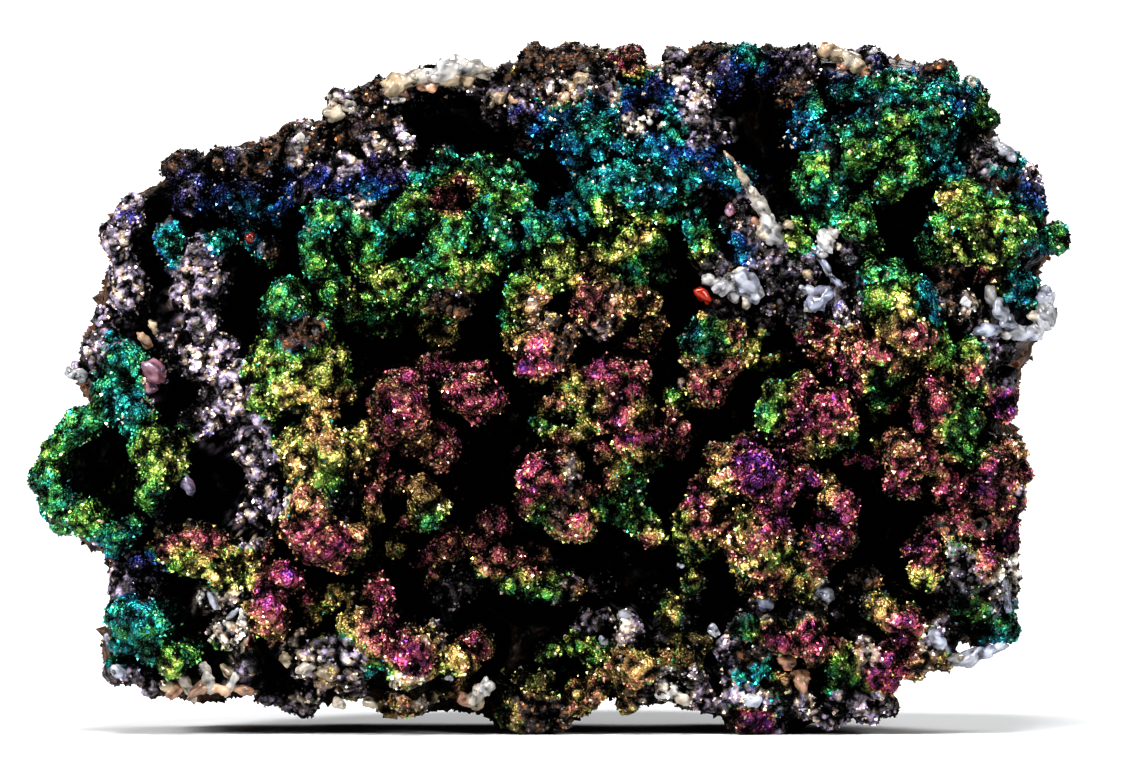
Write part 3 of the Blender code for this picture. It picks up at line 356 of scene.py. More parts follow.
PINK_MIDDLE = """
535 225 11 22  536 245 8 22  550 225 9 21  558 242 12 23  568 250 8 22  553 262 9 22  560 275 12 23
512 295 10 22  526 305 12 23  540 295 9 22  530 316 8 22  508 313 8 21  595 263 11 23  611 263 9 22
607 290 12 24  611 308 11 24  590 297 10 24  580 308 8 22  598 322 10 23  628 240 9 22  655 258 10 20
627 268 9 21  636 281 9 21  632 305 10 21  530 345 10 23  527 367 10 23  545 340 10 23  560 345 11 23
551 363 10 23  545 376 8 22  540 357 9 23  605 365 8 22  616 372 9 23  638 371 8 22  567 381 8 21
581 379 8 22  596 380 9 22  618 388 11 24  635 387 9 23  620 405 11 24  604 410 9 23  639 408 9 23
595 400 8 22  575 393 9 21  577 406 8 21  618 422 9 24  632 421 8 23  555 406 8 21  564 438 8 22
638 450 10 22  650 438 8 21  650 460 8 21  622 472 11 21  611 480 8 21  632 480 8 20  545 467 12 23
569 468 11 23  563 484 11 23  534 486 11 23  550 480 11 24  547 499 8 22  570 494 8 22  556 513 8 22
583 524 9 22  589 509 8 22  565 524 8 22  596 506 8 20  613 505 8 19  672 418 9 20  705 323 10 22
721 325 10 22  735 331 8 22  709 344 12 23  729 346 10 23  694 344 9 22  692 360 8 21  726 367 10 21
704 368 8 21  690 383 9 21  700 396 8 20  680 400 8 20  749 348 8 20  687 520 9 21  700 525 12 22
708 537 8 21  682 540 8 21  702 546 9 20  690 556 9 18  709 493 8 20  545 555 12 17  530 577 14 18
555 580 9 17  561 597 8 19  575 590 8 18  600 585 9 16  620 560 9 16  697 580 9 19  533 262 6 21
574 279 7 22  548 280 7 21  525 284 6 21  510 330 7 20  583 320 7 21  620 280 7 22  645 243 7 21
620 250 7 22  608 240 5 20  660 270 7 19  645 300 7 20  650 330 7 19  630 340 5 18  645 345 7 18
571 338 6 22  562 372 7 21  551 325 7 22  533 326 6 21  513 345 5 20  600 420 7 22  560 393 7 20
545 420 7 21  549 433 7 22  578 434 7 22  585 422 7 21  595 445 7 21  606 455 7 20  628 442 7 22
625 457 7 21  663 437 6 20  528 500 6 22  586 495 7 21  540 511 7 22  621 516 8 19  632 502 6 18
640 521 6 19  648 528 6 19  657 536 5 19  681 430 7 20  675 440 6 19  710 393 7 20  720 385 7 19
738 358 7 20  698 488 7 20  700 503 7 20  517 585 6 19  530 592 6 19  546 592 6 19  778 358 6 17
762 365 7 17
"""
PURPLE_RIGHT = """
774 390 9 21  775 408 9 21  772 424 8 21  790 391 9 21  795 408 11 22  785 430 9 21  797 425 8 21
820 402 9 22  832 405 11 23  838 420 9 23  825 428 10 23  809 428 9 22  845 426 8 22  815 443 9 22
806 449 8 22  830 441 8 22  750 443 8 20  730 460 10 22  720 457 8 21  735 472 8 22  720 485 8 21
712 496 9 21  757 468 11 23  752 485 11 24  774 482 11 24  777 497 11 24  768 508 9 23  768 465 8 22
752 525 11 24  765 530 11 24  757 545 12 24  768 550 10 24  745 540 8 23  779 528 8 22  775 515 8 22
765 563 10 23  750 563 9 23  721 530 9 21  733 530 10 22  735 547 9 21  738 512 8 21  724 510 8 20
755 578 9 21  775 575 9 21  786 583 8 20  769 589 8 20  799 480 9 21  808 485 9 21  830 498 9 22
842 495 8 22  848 507 8 22  828 520 11 22  834 535 9 21  815 533 8 20  828 546 10 21  810 552 12 21
796 555 9 20  820 560 9 20  808 570 8 19  853 458 8 18  745 180 9 19  750 200 9 20  747 218 9 19
800 232 8 19  787 232 8 20  795 248 8 20  848 252 8 18  855 283 8 20  812 333 8 20  822 340 9 20
815 350 8 18  848 377 9 20  745 314 9 18  755 222 9 20  712 480 7 19  800 387 7 21  848 437 6 21
790 445 7 20  843 410 7 22  740 455 7 20  742 480 7 22  785 488 6 23  780 545 7 22  742 565 7 21
728 496 6 19  790 570 7 20  806 470 7 20  820 482 6 20  840 517 7 22  846 528 7 21  845 541 7 21
804 256 7 20  790 263 7 20  800 268 7 19  868 250 7 18  848 262 7 18  832 328 7 20  803 338 6 19
846 360 7 19  828 370 5 17  760 310 7 17
"""
LOWER_MIDDLE = """
590 625 10 18  605 620 8 17  628 622 9 19  632 636 8 19  668 628 11 19  684 620 8 18  670 605 9 18
690 605 8 17  553 655 8 17  618 670 10 19  632 672 11 20  645 672 10 20  625 688 9 19  632 698 9 16
650 694 9 16  705 642 8 18  728 650 9 18  667 693 9 18  700 690 11 16  713 705 10 15  690 702 9 15
596 695 8 18  575 693 8 17  600 680 9 17  560 712 9 17  540 712 9 17  520 712 10 17  515 698 8 17
545 685 8 16  525 685 9 16  580 705 8 15  625 650 13 19  655 600 7 16  575 645 7 18  586 652 7 18
598 658 7 18  655 665 7 19  668 662 7 18  690 645 6 18  690 658 6 18  688 672 6 18  682 700 6 16
530 726 9 16  552 724 9 16  510 722 8 16
"""

SLAB_BED = """
388 87 8 17.2  400 83 8 17.3  412 80 8 17.4  424 77 8 17.4  436 74 8 17.4  448 72 8 17.4  460 71 8 17.3
472 71 8 17.2  484 75 8 17
"""
VEIN_RUBBLE = """
745 204 6 20.2  752 216 6 20.4  741 218 6 20  760 242 7 20.3  775 252 7 20  790 246 7 20.4  801 256 8 20.2
813 263 7 19.8  845 251 8 20  858 257 7 19.5  770 264 8 19.8  756 264 7 20.2  784 276 8 20  795 291 8 20.3
771 291 8 20.2  785 305 8 20  765 309 7 20.4  800 318 7 20  835 300 7 20.2  846 290 7 19.8  730 311 8 20.4
745 319 7 20  761 326 7 19.6  713 268 7 20.4  728 262 7 20.6
"""
ZONES = {
    "left": LEFT_SHOULDER + LEFT_LOOP + LOWER_LEFT,
    "top": TOP_LEFT + TOP_MIDDLE + SLAB_BED,
    "golden": GREEN_COLUMNS + GOLDEN_MASS,
    "upper_right": TOP_RIGHT + RIGHT_GREEN + VEIN_RUBBLE,
    "middle": PINK_MIDDLE + LOWER_MIDDLE,
    "right": PURPLE_RIGHT + LOWER_RIGHT,
}
zone_columns = [table(text, 4) for text in ZONES.values()]
columns = np.concatenate(zone_columns)
zone_of = np.repeat(np.arange(len(ZONES)), [len(rows) for rows in zone_columns])
print(len(columns), "columns in", len(ZONES), "zones")


# %% [markdown]
# ## What colour each column has
# The film is thin, and its colour tells how thick it is: brown and violet where it begins, then blue,
# teal, green, yellow, orange, and at last red, magenta and purple. So a colour is one number, the film's
# thickness from 0 to 1. Where there is no film, the bare rock shows, from rust through grey to white, which
# is a second number, its tone. A third number says how bright the place is: the finish's own brightness,
# and for the dim words and black a painted shade, as those places lie deep between the columns.

# %% Words for the film
# The brightness of the dim words and of black is painted shade, for places that lie deep between the
# columns.
FINISHES = {            # word: (film, bareness, tone of the bare rock, brightness)
    "violet": (0.09, 0.35, 0.60, 1.0),
    "indigo": (0.17, 0.25, 0.35, 0.6),
    "blue": (0.25, 0.1, 0.45, 0.85),
    "dim blue": (0.29, 0.3, 0.55, 0.55),
    "cyan": (0.32, 0.0, 0.50, 1.1),
    "teal": (0.40, 0.0, 0.45, 1.15),
    "mint": (0.43, 0.05, 0.60, 1.7),
    "green": (0.50, 0.0, 0.45, 1.15),
    "dim green": (0.52, 0.0, 0.45, 0.45),
    "lime": (0.59, 0.0, 0.50, 1.3),
    "yellow": (0.67, 0.0, 0.60, 1.3),
    "olive": (0.68, 0.1, 0.40, 0.45),
    "orange": (0.76, 0.05, 0.50, 1.15),
    "tan": (0.78, 0.45, 0.70, 0.9),
    "salmon": (0.83, 0.1, 0.60, 1.1),
    "red": (0.88, 0.0, 0.40, 0.85),
    "dim red": (0.88, 0.0, 0.40, 0.4),
    "pink": (0.91, 0.05, 0.60, 1.05),
    "magenta": (0.95, 0.0, 0.50, 1.0),
    "purple": (1.00, 0.0, 0.50, 0.95),
    "dim magenta": (0.97, 0.0, 0.50, 0.5),
    "brown": (0.05, 0.85, 0.12, 1.3),
    "rust": (0.78, 0.80, 0.18, 1.5),
    "black": (0.10, 0.8, 0.25, 0.05),
    "grey": (0.12, 0.85, 0.53, 2.0),
    "dim grey": (0.12, 0.85, 0.48, 0.5),
    "lavender": (0.10, 0.85, 0.64, 2.2),
    "beige": (0.75, 0.9, 0.74, 1.2),
    "white": (0.30, 0.9, 0.90, 1.2),
}


# %% Places of the words
# Where each word was read off the face: across and down
PLACES = {
    "brown": """
        172 164  215 160  248 165  268 148  292 342  365 98  380 118  350 130  806 82  955 290  290 132
        322 130  700 60  712 54  745 655  990 190  305 148  935 60  510 95""",
    "rust": """
        280 150  545 60  530 72  510 70  592 55  722 42  985 530  956 530  560 345  556 513  455 303
        985 597  540 712  810 552  580 56  850 590""",
    "violet": """
        175 190  185 205  160 182  190 168  230 156  310 188  325 175  380 167  525 115  797 65  727 60
        135 575  118 215  885 60  648 78""",
    "indigo": """
        292 198  345 190  215 192  255 190  290 172  650 92  630 90  845 75  735 80  222 215  645 105
        1040 192""",
    "dim blue": """
        205 205  225 208  250 205  272 210  238 218  118 190""",
    "blue": """
        372 190  597 107  672 103  710 165  741 240  805 130  958 98  893 100  660 145  565 120  838 118
        745 254""",
    "cyan": """
        165 240  120 400  540 125  572 145  580 215  600 150  618 170  650 180  736 180  829 187
        926 308  945 130  1028 200  948 163  722 172  665 178  1055 262  633 183  648 200  1012 290
        592 195  1040 250""",
    "teal": """
        120 360  115 540  130 630  222 238  440 165  535 225  505 230  590 130  628 270  673 125
        697 212  709 344  745 45  822 101  838 133  831 205  928 95  925 118  955 88  1003 635  752 677
        375 672  630 480  855 88  475 168  495 178  514 170  1005 165  60 515  47 500  145 652  700 230
        1028 280  865 120  118 650  690 182  680 208  485 208""",
    "mint": """
        118 345  126 365  112 385  118 402  128 425  108 355  110 630  120 645  150 640  135 610  95 415
        165 242  385 228  318 225  590 135  838 190""",
    "green": """
        45 455  58 440  72 428  85 418  285 300  362 230  410 215  450 235  500 170  507 313  536 245
        545 420  517 585  546 592  703 240  715 340  680 400  748 625  812 172  862 222  775 408  890 78
        895 175  945 222  890 278  879 383  968 402  968 448  960 210  425 518  500 228  315 215
        312 238  338 212  500 195  470 240  425 275  185 655  640 521  905 85  880 125  908 170  863 228
        848 227  838 216  1026 221  657 536  955 435  118 378  318 262  392 228  512 295  880 298
        78 522  150 503  530 592  820 180  902 155  1010 240  850 133  540 511  1062 238  858 145""",
    "dim green": """
        848 437  843 670  968 604  980 612  1000 618  370 320  612 505  990 125  388 308  1005 240
        628 490  930 240  645 460  895 205  610 240  655 258  850 170  870 250  320 480  690 560
        860 150  1050 240  985 121  938 118""",
    "lime": """
        150 460  190 560  170 665  280 375  375 290  465 275  465 262  560 275  600 210  687 520
        682 540  765 563  774 390  787 250  800 240  849 153  945 358  968 350  995 250  1015 225
        884 298  975 232  973 190  575 645  590 655  150 440  148 485  320 375  258 372  265 350
        262 395  395 275  396 292  832 173  890 115  553 655  300 368  987 215  790 570  745 530
        610 263  1000 200  765 550  553 262""",
    "yellow": """
        230 575  320 460  285 395  308 395  630 240  645 225  749 348  890 332  450 660  949 198
        712 496  345 455  290 445  345 620  900 310  218 576  620 250  350 430  295 470  355 455
        358 620  745 578  700 545  926 575  560 393  575 420""",
    "olive": """
        390 545  358 600  600 265  595 400  639 408  905 363  545 685  595 263  622 472  500 720
        960 553  430 332  700 258  812 443  735 512  700 642""",
    "orange": """
        325 410  425 500  500 565  468 668  635 305  830 498  884 612  618 670  305 435  330 440
        430 440  700 290  520 345  595 697  372 518  640 672  720 470  808 592  670 605""",
    "tan": """
        525 305  430 640  607 290  575 590  560 95  721 530  697 580  570 468  690 383  611 308  526 316
        865 655  600 322  330 685  928 660  780 690""",
    "salmon": """
        372 480  310 505  312 478  374 495  703 368  775 490  822 340  895 352  925 443  845 426
        865 350  735 547  400 683  985 565  912 450  598 305  930 460  1012 463""",
    "red": """
        200 540  465 395  440 455  555 405  365 625  480 650  672 418  265 615  1000 515  725 367
        952 476  395 420  486 395  545 376  735 331  180 536  583 524  768 589""",
    "dim red": """
        630 58  640 68  458 193  445 550  495 525  530 575  405 525  475 545  425 565  440 432  402 440
        988 287  430 360  665 440  560 438  600 480  668 560  820 560  905 650  650 440  555 555
        500 545  970 515""",
    "pink": """
        330 540  285 580  400 405  375 597  375 652  400 380  618 388  618 422  545 470  638 450
        590 297  880 352  900 332  915 335  773 630  812 640  755 578  775 575  733 530  934 389
        929 460  903 466  755 530  300 530  620 405  425 425  477 415  969 373  820 402  815 644
        886 660  848 500  308 552  655 372  700 396  405 370  605 365""",
    "magenta": """
        528 360  534 486  410 655  418 655  700 525  828 520  832 405  757 545  903 484  805 480
        915 628  995 470  934 405  838 420  930 556  270 600  527 367  395 640  540 357  768 508
        640 387  695 500  950 500  1015 478  826 428  545 480  616 372  1003 482  900 625  922 412
        848 520  400 620""",
    "purple": """
        752 485  775 495  777 508  765 465  1003 400  760 545  745 472  978 497  828 535""",
    "dim magenta": """
        795 408  812 420  848 377  740 725  752 726  812 333  800 440  865 465  960 520  930 545
        980 540  1000 540  900 520  880 500  862 478  870 525  1010 505  985 505  650 545  520 500
        470 455  690 470""",
    # Places deep between the columns, where black stands for painted shade
    "black": """
        425 108  445 112  405 112  460 120  790 275  810 285  745 300  780 320  160 205  150 250
        150 268  130 325  180 395  172 388  185 513  168 513  203 513  277 683  705 191  840 155
        840 172  1010 186  565 418  350 500  560 560  540 640  500 640  480 600  620 580  655 600
        560 610  520 620  460 570  735 600  700 590  300 225  235 300  245 330  850 600  940 600
        140 585  430 150  600 560  850 110  520 130  765 150  235 480  870 540  960 640  700 620
        650 560""",
    "dim grey": """
        450 595  590 625  740 200  755 215  835 255  875 113  1003 352  1000 377  960 565  445 75
        108 685  600 75  965 590  780 260  775 285  795 300  760 270  820 270  850 245  725 265  745 204
        741 218  760 242  775 252  770 264  771 291  785 305  800 318  846 290  730 311  745 319
        713 268  785 610  700 605  745 615  640 620""",
    "grey": """
        752 216  801 258  765 309  835 302  756 262  200 250  205 290  220 345  198 320  115 580
        345 652  690 95  705 130  685 110  125 675  255 438  262 470  105 338  985 155  300 195  90 560
        728 650  395 128  1013 488  1003 300  340 165  500 60  865 45  910 70  150 695  785 705  720 690
        850 715""",
    "lavender": """
        112 238  130 201  265 470  272 495  255 480  110 290  90 350  190 343  220 395  240 383  205 358
        98 315  250 515  130 280  118 262  750 700  985 330  1005 150  1040 172  765 603  180 295
        935 640  262 498  205 270  1000 610  760 690  245 455  955 550  300 137""",
    "beige": """
        365 205  582 82  500 97  515 97  680 65  320 685  355 672  300 668  130 320  348 107  375 142
        610 90  838 62  825 55  312 698  285 698  250 700  695 80  470 68  335 112  870 650  800 700
        570 97  980 155  160 385  398 146""",
    "white": """
        398 100  213 600  233 613  645 120  849 55  300 160  805 275  966 305  667 693  628 622
        1010 575  1000 590  825 595  400 682""",
}
word_places = [table(text, 2) for text in PLACES.values()]
place_xy = np.concatenate(word_places).astype(np.float32)
word_finish = np.array([FINISHES[word] for word in PLACES])
place_finish = np.repeat(word_finish, [len(places) for places in word_places], axis=0)
print(len(place_xy), "places in", len(PLACES), "colour words")


# %% [markdown]
# Between the places the finish has to change from one word's to the next one's, but with a frayed border,
# as on the real crust. So every point takes the mean of the places near it, read a little to one side.

# %% The finish over a point
FIELD_REACH = 8.0       # how far, in units of the drawing, a place's finish goes over into the next one's
AT_ONCE = 20000         # points worked out together, which keeps the memory small


def finish_at(points):
    """The finish over each point: the mean of the places near it, the nearest most, each weighing by a
    bell curve of its distance. The film's colour counts the filmed places most, the tone the bare ones. A
    little noise in where the field is read frays the borders."""
    wander = np.stack([clouds(points, 1.1, 51), clouds(points, 1.1, 52)], -1) * 5.0
    spots = np.stack([points[:, 0] / UNIT + FACE_MIDDLE, FACE_BASE - points[:, 2] / UNIT], -1) + wander
    spots = spots.astype(np.float32)
    finish = np.empty((len(points), 4))
    for start in range(0, len(points), AT_ONCE):
        part = slice(start, start + AT_ONCE)
        distance = (spots[part, :1] - place_xy[:, 0]) ** 2 + (spots[part, 1:] - place_xy[:, 1]) ** 2
        distance = distance - distance.min(1, keepdims=True)
        weight = np.exp(-distance / (2 * FIELD_REACH ** 2))
        filmed = weight * (1.02 - place_finish[:, 1])
        bared = weight * (0.02 + place_finish[:, 1])
        for number, share in enumerate((filmed, weight, bared, weight)):
            finish[part, number] = share @ place_finish[:, number] / share.sum(1)
    return finish


# %% [markdown]
# ## One column
# A column is a profile carried round its axis. The profile starts at the tip, follows a ball down past
# its widest place and narrows into a stem, which goes back into the rock. Each column leans outwards a
# little more the nearer it is to the rim, as if all had grown from the middle of the chunk. The knobs push
# the skin out along the ball's directions, so that a head looks like a cauliflower.

# %% Columns as surfaces
AROUND = 18             # points round a column
HEAD_ROWS = 9
STEM_ROWS = 2
HEAD_ANGLE = 2.35       # how far the ball goes down from the tip before the stem starts, in radians
STEM_WIDTH = 0.70       # against the radius of the head
STEM_LENGTH = 7.0       # millimetres
LEAN = 0.55             # how far a column at the rim leans outwards, for one to the front
FACE_HALF = [52.0, 1.0, 34.0]


def from_centre(points):
    """How far each point lies from the face's centre, against half the face, and nothing along y."""
    return (points - on_face(FACE_MIDDLE, FACE_CENTRE, 0)) / FACE_HALF * [1.0, 0.0, 1.0]


def axes_of(centres):
    """The way each column points: to the viewer, and outwards past about half way to the rim."""
    outward = from_centre(centres)
    far = np.linalg.norm(outward, axis=1, keepdims=True)
    lean = LEAN * np.clip(far - 0.55, 0, 0.5) / 0.5
    return unit(np.array([0.0, -1.0, 0.0]) + lean * unit(outward))


def rings_round(axes, first, turn):
    """For each axis, directions square to it at these turns, from the first one."""
    second = np.cross(axes, first)
    return np.cos(turn)[:, None] * first[:, None] + np.sin(turn)[:, None] * second[:, None]


# %% [markdown]
# The columns that were read off are the heads that can be told apart. Between them sit smaller ones, whose
# exact places don't matter, so they are drawn at random beside the heads of the others.

# %% Lobes
LOBES_EACH = 1.1        # smaller heads that grow out of the flank of each column


def lobes_of(parents, zones, count):
    """Rows for lobes: each sits beside the head of a random column, a head's radius or more from its
    axis in any direction, is about two thirds as wide and reaches about a radius less far."""
    rng = np.random.default_rng(3)
    pick = rng.integers(0, len(parents), count)
    parent = parents[pick]
    turn = rng.uniform(0, 2 * math.pi, count)
    gap = parent[:, 2] * rng.uniform(0.75, 1.35, count)
    radius = np.clip(parent[:, 2] * rng.uniform(0.5, 0.8, count), 5.5, 10)
    reach = parent[:, 3] - parent[:, 2] * UNIT * rng.uniform(0.3, 1.8, count)
    across = parent[:, 0] + gap * np.cos(turn)
    down = parent[:, 1] + gap * np.sin(turn)
    return np.stack([across, down, radius, reach], -1), zones[pick]


hand_read = len(columns)
lobe_rows, lobe_zones = lobes_of(columns, zone_of, int(LOBES_EACH * len(columns)))
columns = np.concatenate([columns, lobe_rows])
zone_of = np.concatenate([zone_of, lobe_zones])
HEAD_GROWTH = 1.12      # the head with its knobs against the radius that was read off the face
radii = columns[:, 2] * UNIT * HEAD_GROWTH
tips = on_face(columns[:, 0], columns[:, 1], columns[:, 3])
column_axes = axes_of(tips)
heads = tips - column_axes * radii[:, None]


# %% Skins of columns
def column_points(pick):
    """Skins of the picked columns, as (column, row and place round it): each point is the head's middle
    plus its radius times a direction that turns from the tip down, and then a straight stem."""
    turn = np.arange(AROUND) / AROUND * 2 * math.pi
    first = unit(np.cross(column_axes[pick], [0.0, 0.0, 1.0]) + np.array([1e-6, 0, 0]))
    ring = rings_round(column_axes[pick], first, turn)
    angle = np.linspace(0, HEAD_ANGLE, HEAD_ROWS + 1)[1:]
    side = np.concatenate([np.sin(angle), np.full(STEM_ROWS, STEM_WIDTH)])
    along = np.concatenate([np.cos(angle), np.full(STEM_ROWS, math.cos(HEAD_ANGLE))])
    back = np.concatenate([np.zeros(HEAD_ROWS), STEM_LENGTH * np.array([0.4, 1.0])])
    axis = column_axes[pick][:, None, None]
    size = radii[pick][:, None, None, None]
    shape = size * (side[:, None, None] * ring[:, None] + along[:, None, None] * axis)
    skin = heads[pick][:, None, None] + shape - back[:, None, None] * axis
    skin = skin.reshape(len(skin), -1, 3)
    tip = heads[pick] + column_axes[pick] * radii[pick][:, None]
    root = heads[pick] - column_axes[pick] * (STEM_LENGTH + 0.5)
    return np.concatenate([tip[:, None], skin, root[:, None]], axis=1)


# %% [markdown]
# Heads that touch have grown into each other, and a fillet lies where they meet. A boolean union of two
# thousand bumpy columns would be slow and fragile, so each skin is instead pushed out towards the surface
# that it has in common with its nearest neighbours.

# %% Filled creases and knobs
NEIGHBOURS = 10
FILLET = 2.6            # how sharply two heads meet, one over millimetres
MOST_FILL = 0.8         # millimetres


def neighbours_of(pick):
    """The columns whose heads come nearest to each picked one, itself left out."""
    gap = np.linalg.norm(heads[pick][:, None] - heads[None], axis=-1) - radii[None]
    gap[np.arange(len(pick)), pick] = 1e9
    return np.argsort(gap, axis=1)[:, :NEIGHBOURS]


def grown_together(points, pick):
    """Fills the creases: with s the distance to each neighbour's skin, the joined skin lies where the sum
    of exp(-FILLET s) is 1, so each point moves out by the logarithm of that sum over FILLET."""
    near = neighbours_of(pick)
    away = unit(points - heads[pick][:, None])
    for _ in range(2):
        behind = np.clip(points[:, :, None, 1] - heads[near][:, None, :, 1], 0, STEM_LENGTH)
        offset = points[:, :, None] - heads[near][:, None]
        offset[..., 1] -= behind
        apart = np.linalg.norm(offset, axis=-1) - radii[near][:, None]
        own = np.linalg.norm(points - heads[pick][:, None], axis=-1) - radii[pick][:, None]
        own = np.minimum(own, 0.5)
        total = np.exp(-FILLET * np.clip(apart, -1, 9)).sum(-1) + np.exp(-FILLET * own)
        points = points + away * np.clip(np.log(total) / FILLET, 0, MOST_FILL / 2)[..., None]
    return points


# The knobs of the columns: (size in millimetres, seed)
BIG_KNOBS = (1.5, 3)
SMALL_KNOBS = (0.8, 7)


def swollen(points, pick):
    """The skins with their creases filled and their knobs: each point moves away from its head's middle
    by the knobs' height."""
    points = grown_together(points, pick)
    away = unit(points - heads[pick][:, None])
    flat = points.reshape(-1, 3)
    bump = 0.70 * (knobs(flat, *BIG_KNOBS) - 0.6) + 0.50 * (knobs(flat, *SMALL_KNOBS) - 0.6)
    bump = bump + 0.35 * clouds(flat, 2.6, 5)
    return points + away * bump.reshape(points.shape[:2])[..., None]


column_faces = tube_triangles(HEAD_ROWS + STEM_ROWS, AROUND)
column_map = tube_map(HEAD_ROWS + STEM_ROWS, AROUND)
points_each = (HEAD_ROWS + STEM_ROWS) * AROUND + 2
print("each column:", points_each, "points,", len(column_faces), "triangles")


# %% [markdown]
# ## How open a place is
# Deep between the columns no light gets in, so the colour there is darkened with painted shade. To know how
# deep a place lies, the columns are painted into a block of small cubes, and the block is blurred: the
# fuller the neighbourhood, the deeper the place. The same block tells which points are buried in another
# column.

# %% A block of cubes
CUBE = 0.35             # the side of a cube, in millimetres
PAINTED_BALL, PAINTED_STEM = 0.90, 0.62     # against the head's radius, so that no skin is inside itself
block_from = np.array([-55.0, -27.0, -2.0])
block_shape = np.array([315, 80, 212])
filled = np.zeros(block_shape, bool)
for (x, y, z), radius in zip(heads, radii):
    low = np.floor((np.array([x, y, z]) - radius - block_from) / CUBE).astype(int)
    high = np.ceil((np.array([x, y + STEM_LENGTH, z]) + radius - block_from) / CUBE).astype(int) + 1
    low, high = np.clip(low, 0, block_shape), np.clip(high, 0, block_shape)
    cube_axes = [block_from[k] + (np.arange(low[k], high[k]) + 0.5) * CUBE for k in range(3)]
    cx, cy, cz = np.meshgrid(*cube_axes, indexing="ij")
    from_axis = (cx - x) ** 2 + (cz - z) ** 2
    ball = from_axis + (cy - y) ** 2 < (PAINTED_BALL * radius) ** 2
    stem = (from_axis < (PAINTED_STEM * radius) ** 2) & (cy > y)
    filled[low[0]:high[0], low[1]:high[1], low[2]:high[2]] |= ball | stem
print("filled share of the block:", round(float(filled.mean()), 3))


# %% Blurring and looking up
def blurred(block, half_width):
    """The mean of each cube's neighbourhood, one axis after the other, by running sums."""
    for axis in range(3):
        padded = np.pad(block, [(half_width + 1, half_width) if k == axis else (0, 0) for k in range(3)])
        sums = np.cumsum(padded, axis=axis, dtype=np.float32)
        upper = np.take(sums, range(2 * half_width + 1, padded.shape[axis]), axis=axis)
        lower = np.take(sums, range(0, padded.shape[axis] - 2 * half_width - 1), axis=axis)
        block = (upper - lower) / (2 * half_width + 1)
    return block


crowding = blurred(blurred(filled.astype(np.float32), 4), 3)


def looked_up(block, points):
    """The block's value in the cube that holds each point."""
    cell = ((points - block_from) / CUBE).astype(int)
    cell = np.clip(cell, 0, block_shape - 1)
    return block[cell[..., 0], cell[..., 1], cell[..., 2]]


def openness(points, normals):
    """1 where a place stands free and 0 deep between its neighbours, felt 1.2 mm out from the skin."""
    crowd = looked_up(crowding, points + 1.2 * normals)
    return np.clip(1.24 - 2.8 * crowd, 0, 1)


# %% [markdown]
# Lobes that hardly show are left out, which saves triangles for the grains. Each head is judged by points
# just off its front half: those that lie in the open, and in no other column, count as seen.

# %% Leaving out what isn't seen
LOOKS = 48              # points round each head
LEAST_SEEN = 0.16       # the share of them that has to count
GOLDEN_TURN = 2.39996   # radians from one point to the next, which spreads them evenly
look_turn = np.arange(LOOKS) * GOLDEN_TURN
look_in = (np.arange(LOOKS) + 0.5) / LOOKS
look_out = np.sqrt(1 - look_in ** 2)
looks = np.stack([look_out * np.cos(look_turn), -look_in, look_out * np.sin(look_turn)], -1)
probes = heads[:, None] + (radii[:, None, None] + 0.5) * looks
seen = ~looked_up(filled, probes) & (openness(probes, looks) > 0.05)
kept = (np.arange(len(columns)) < hand_read) | (seen.mean(1) > LEAST_SEEN)
columns, zone_of, radii, heads = columns[kept], zone_of[kept], radii[kept], heads[kept]
column_axes = column_axes[kept]
print(len(kept), "columns and lobes,", len(columns), "of them seen")


# %% [markdown]
# ## The film's marks
# Each point keeps four numbers: film, bareness, tone and light, the finish's brightness with painted shade.
# Down a head's flanks the colour moves towards that of thinner film, a painted shift like the one a film
# shows when seen at a slant, so a magenta head has a yellow and green rim, and the film wanders a little
# along the skin.

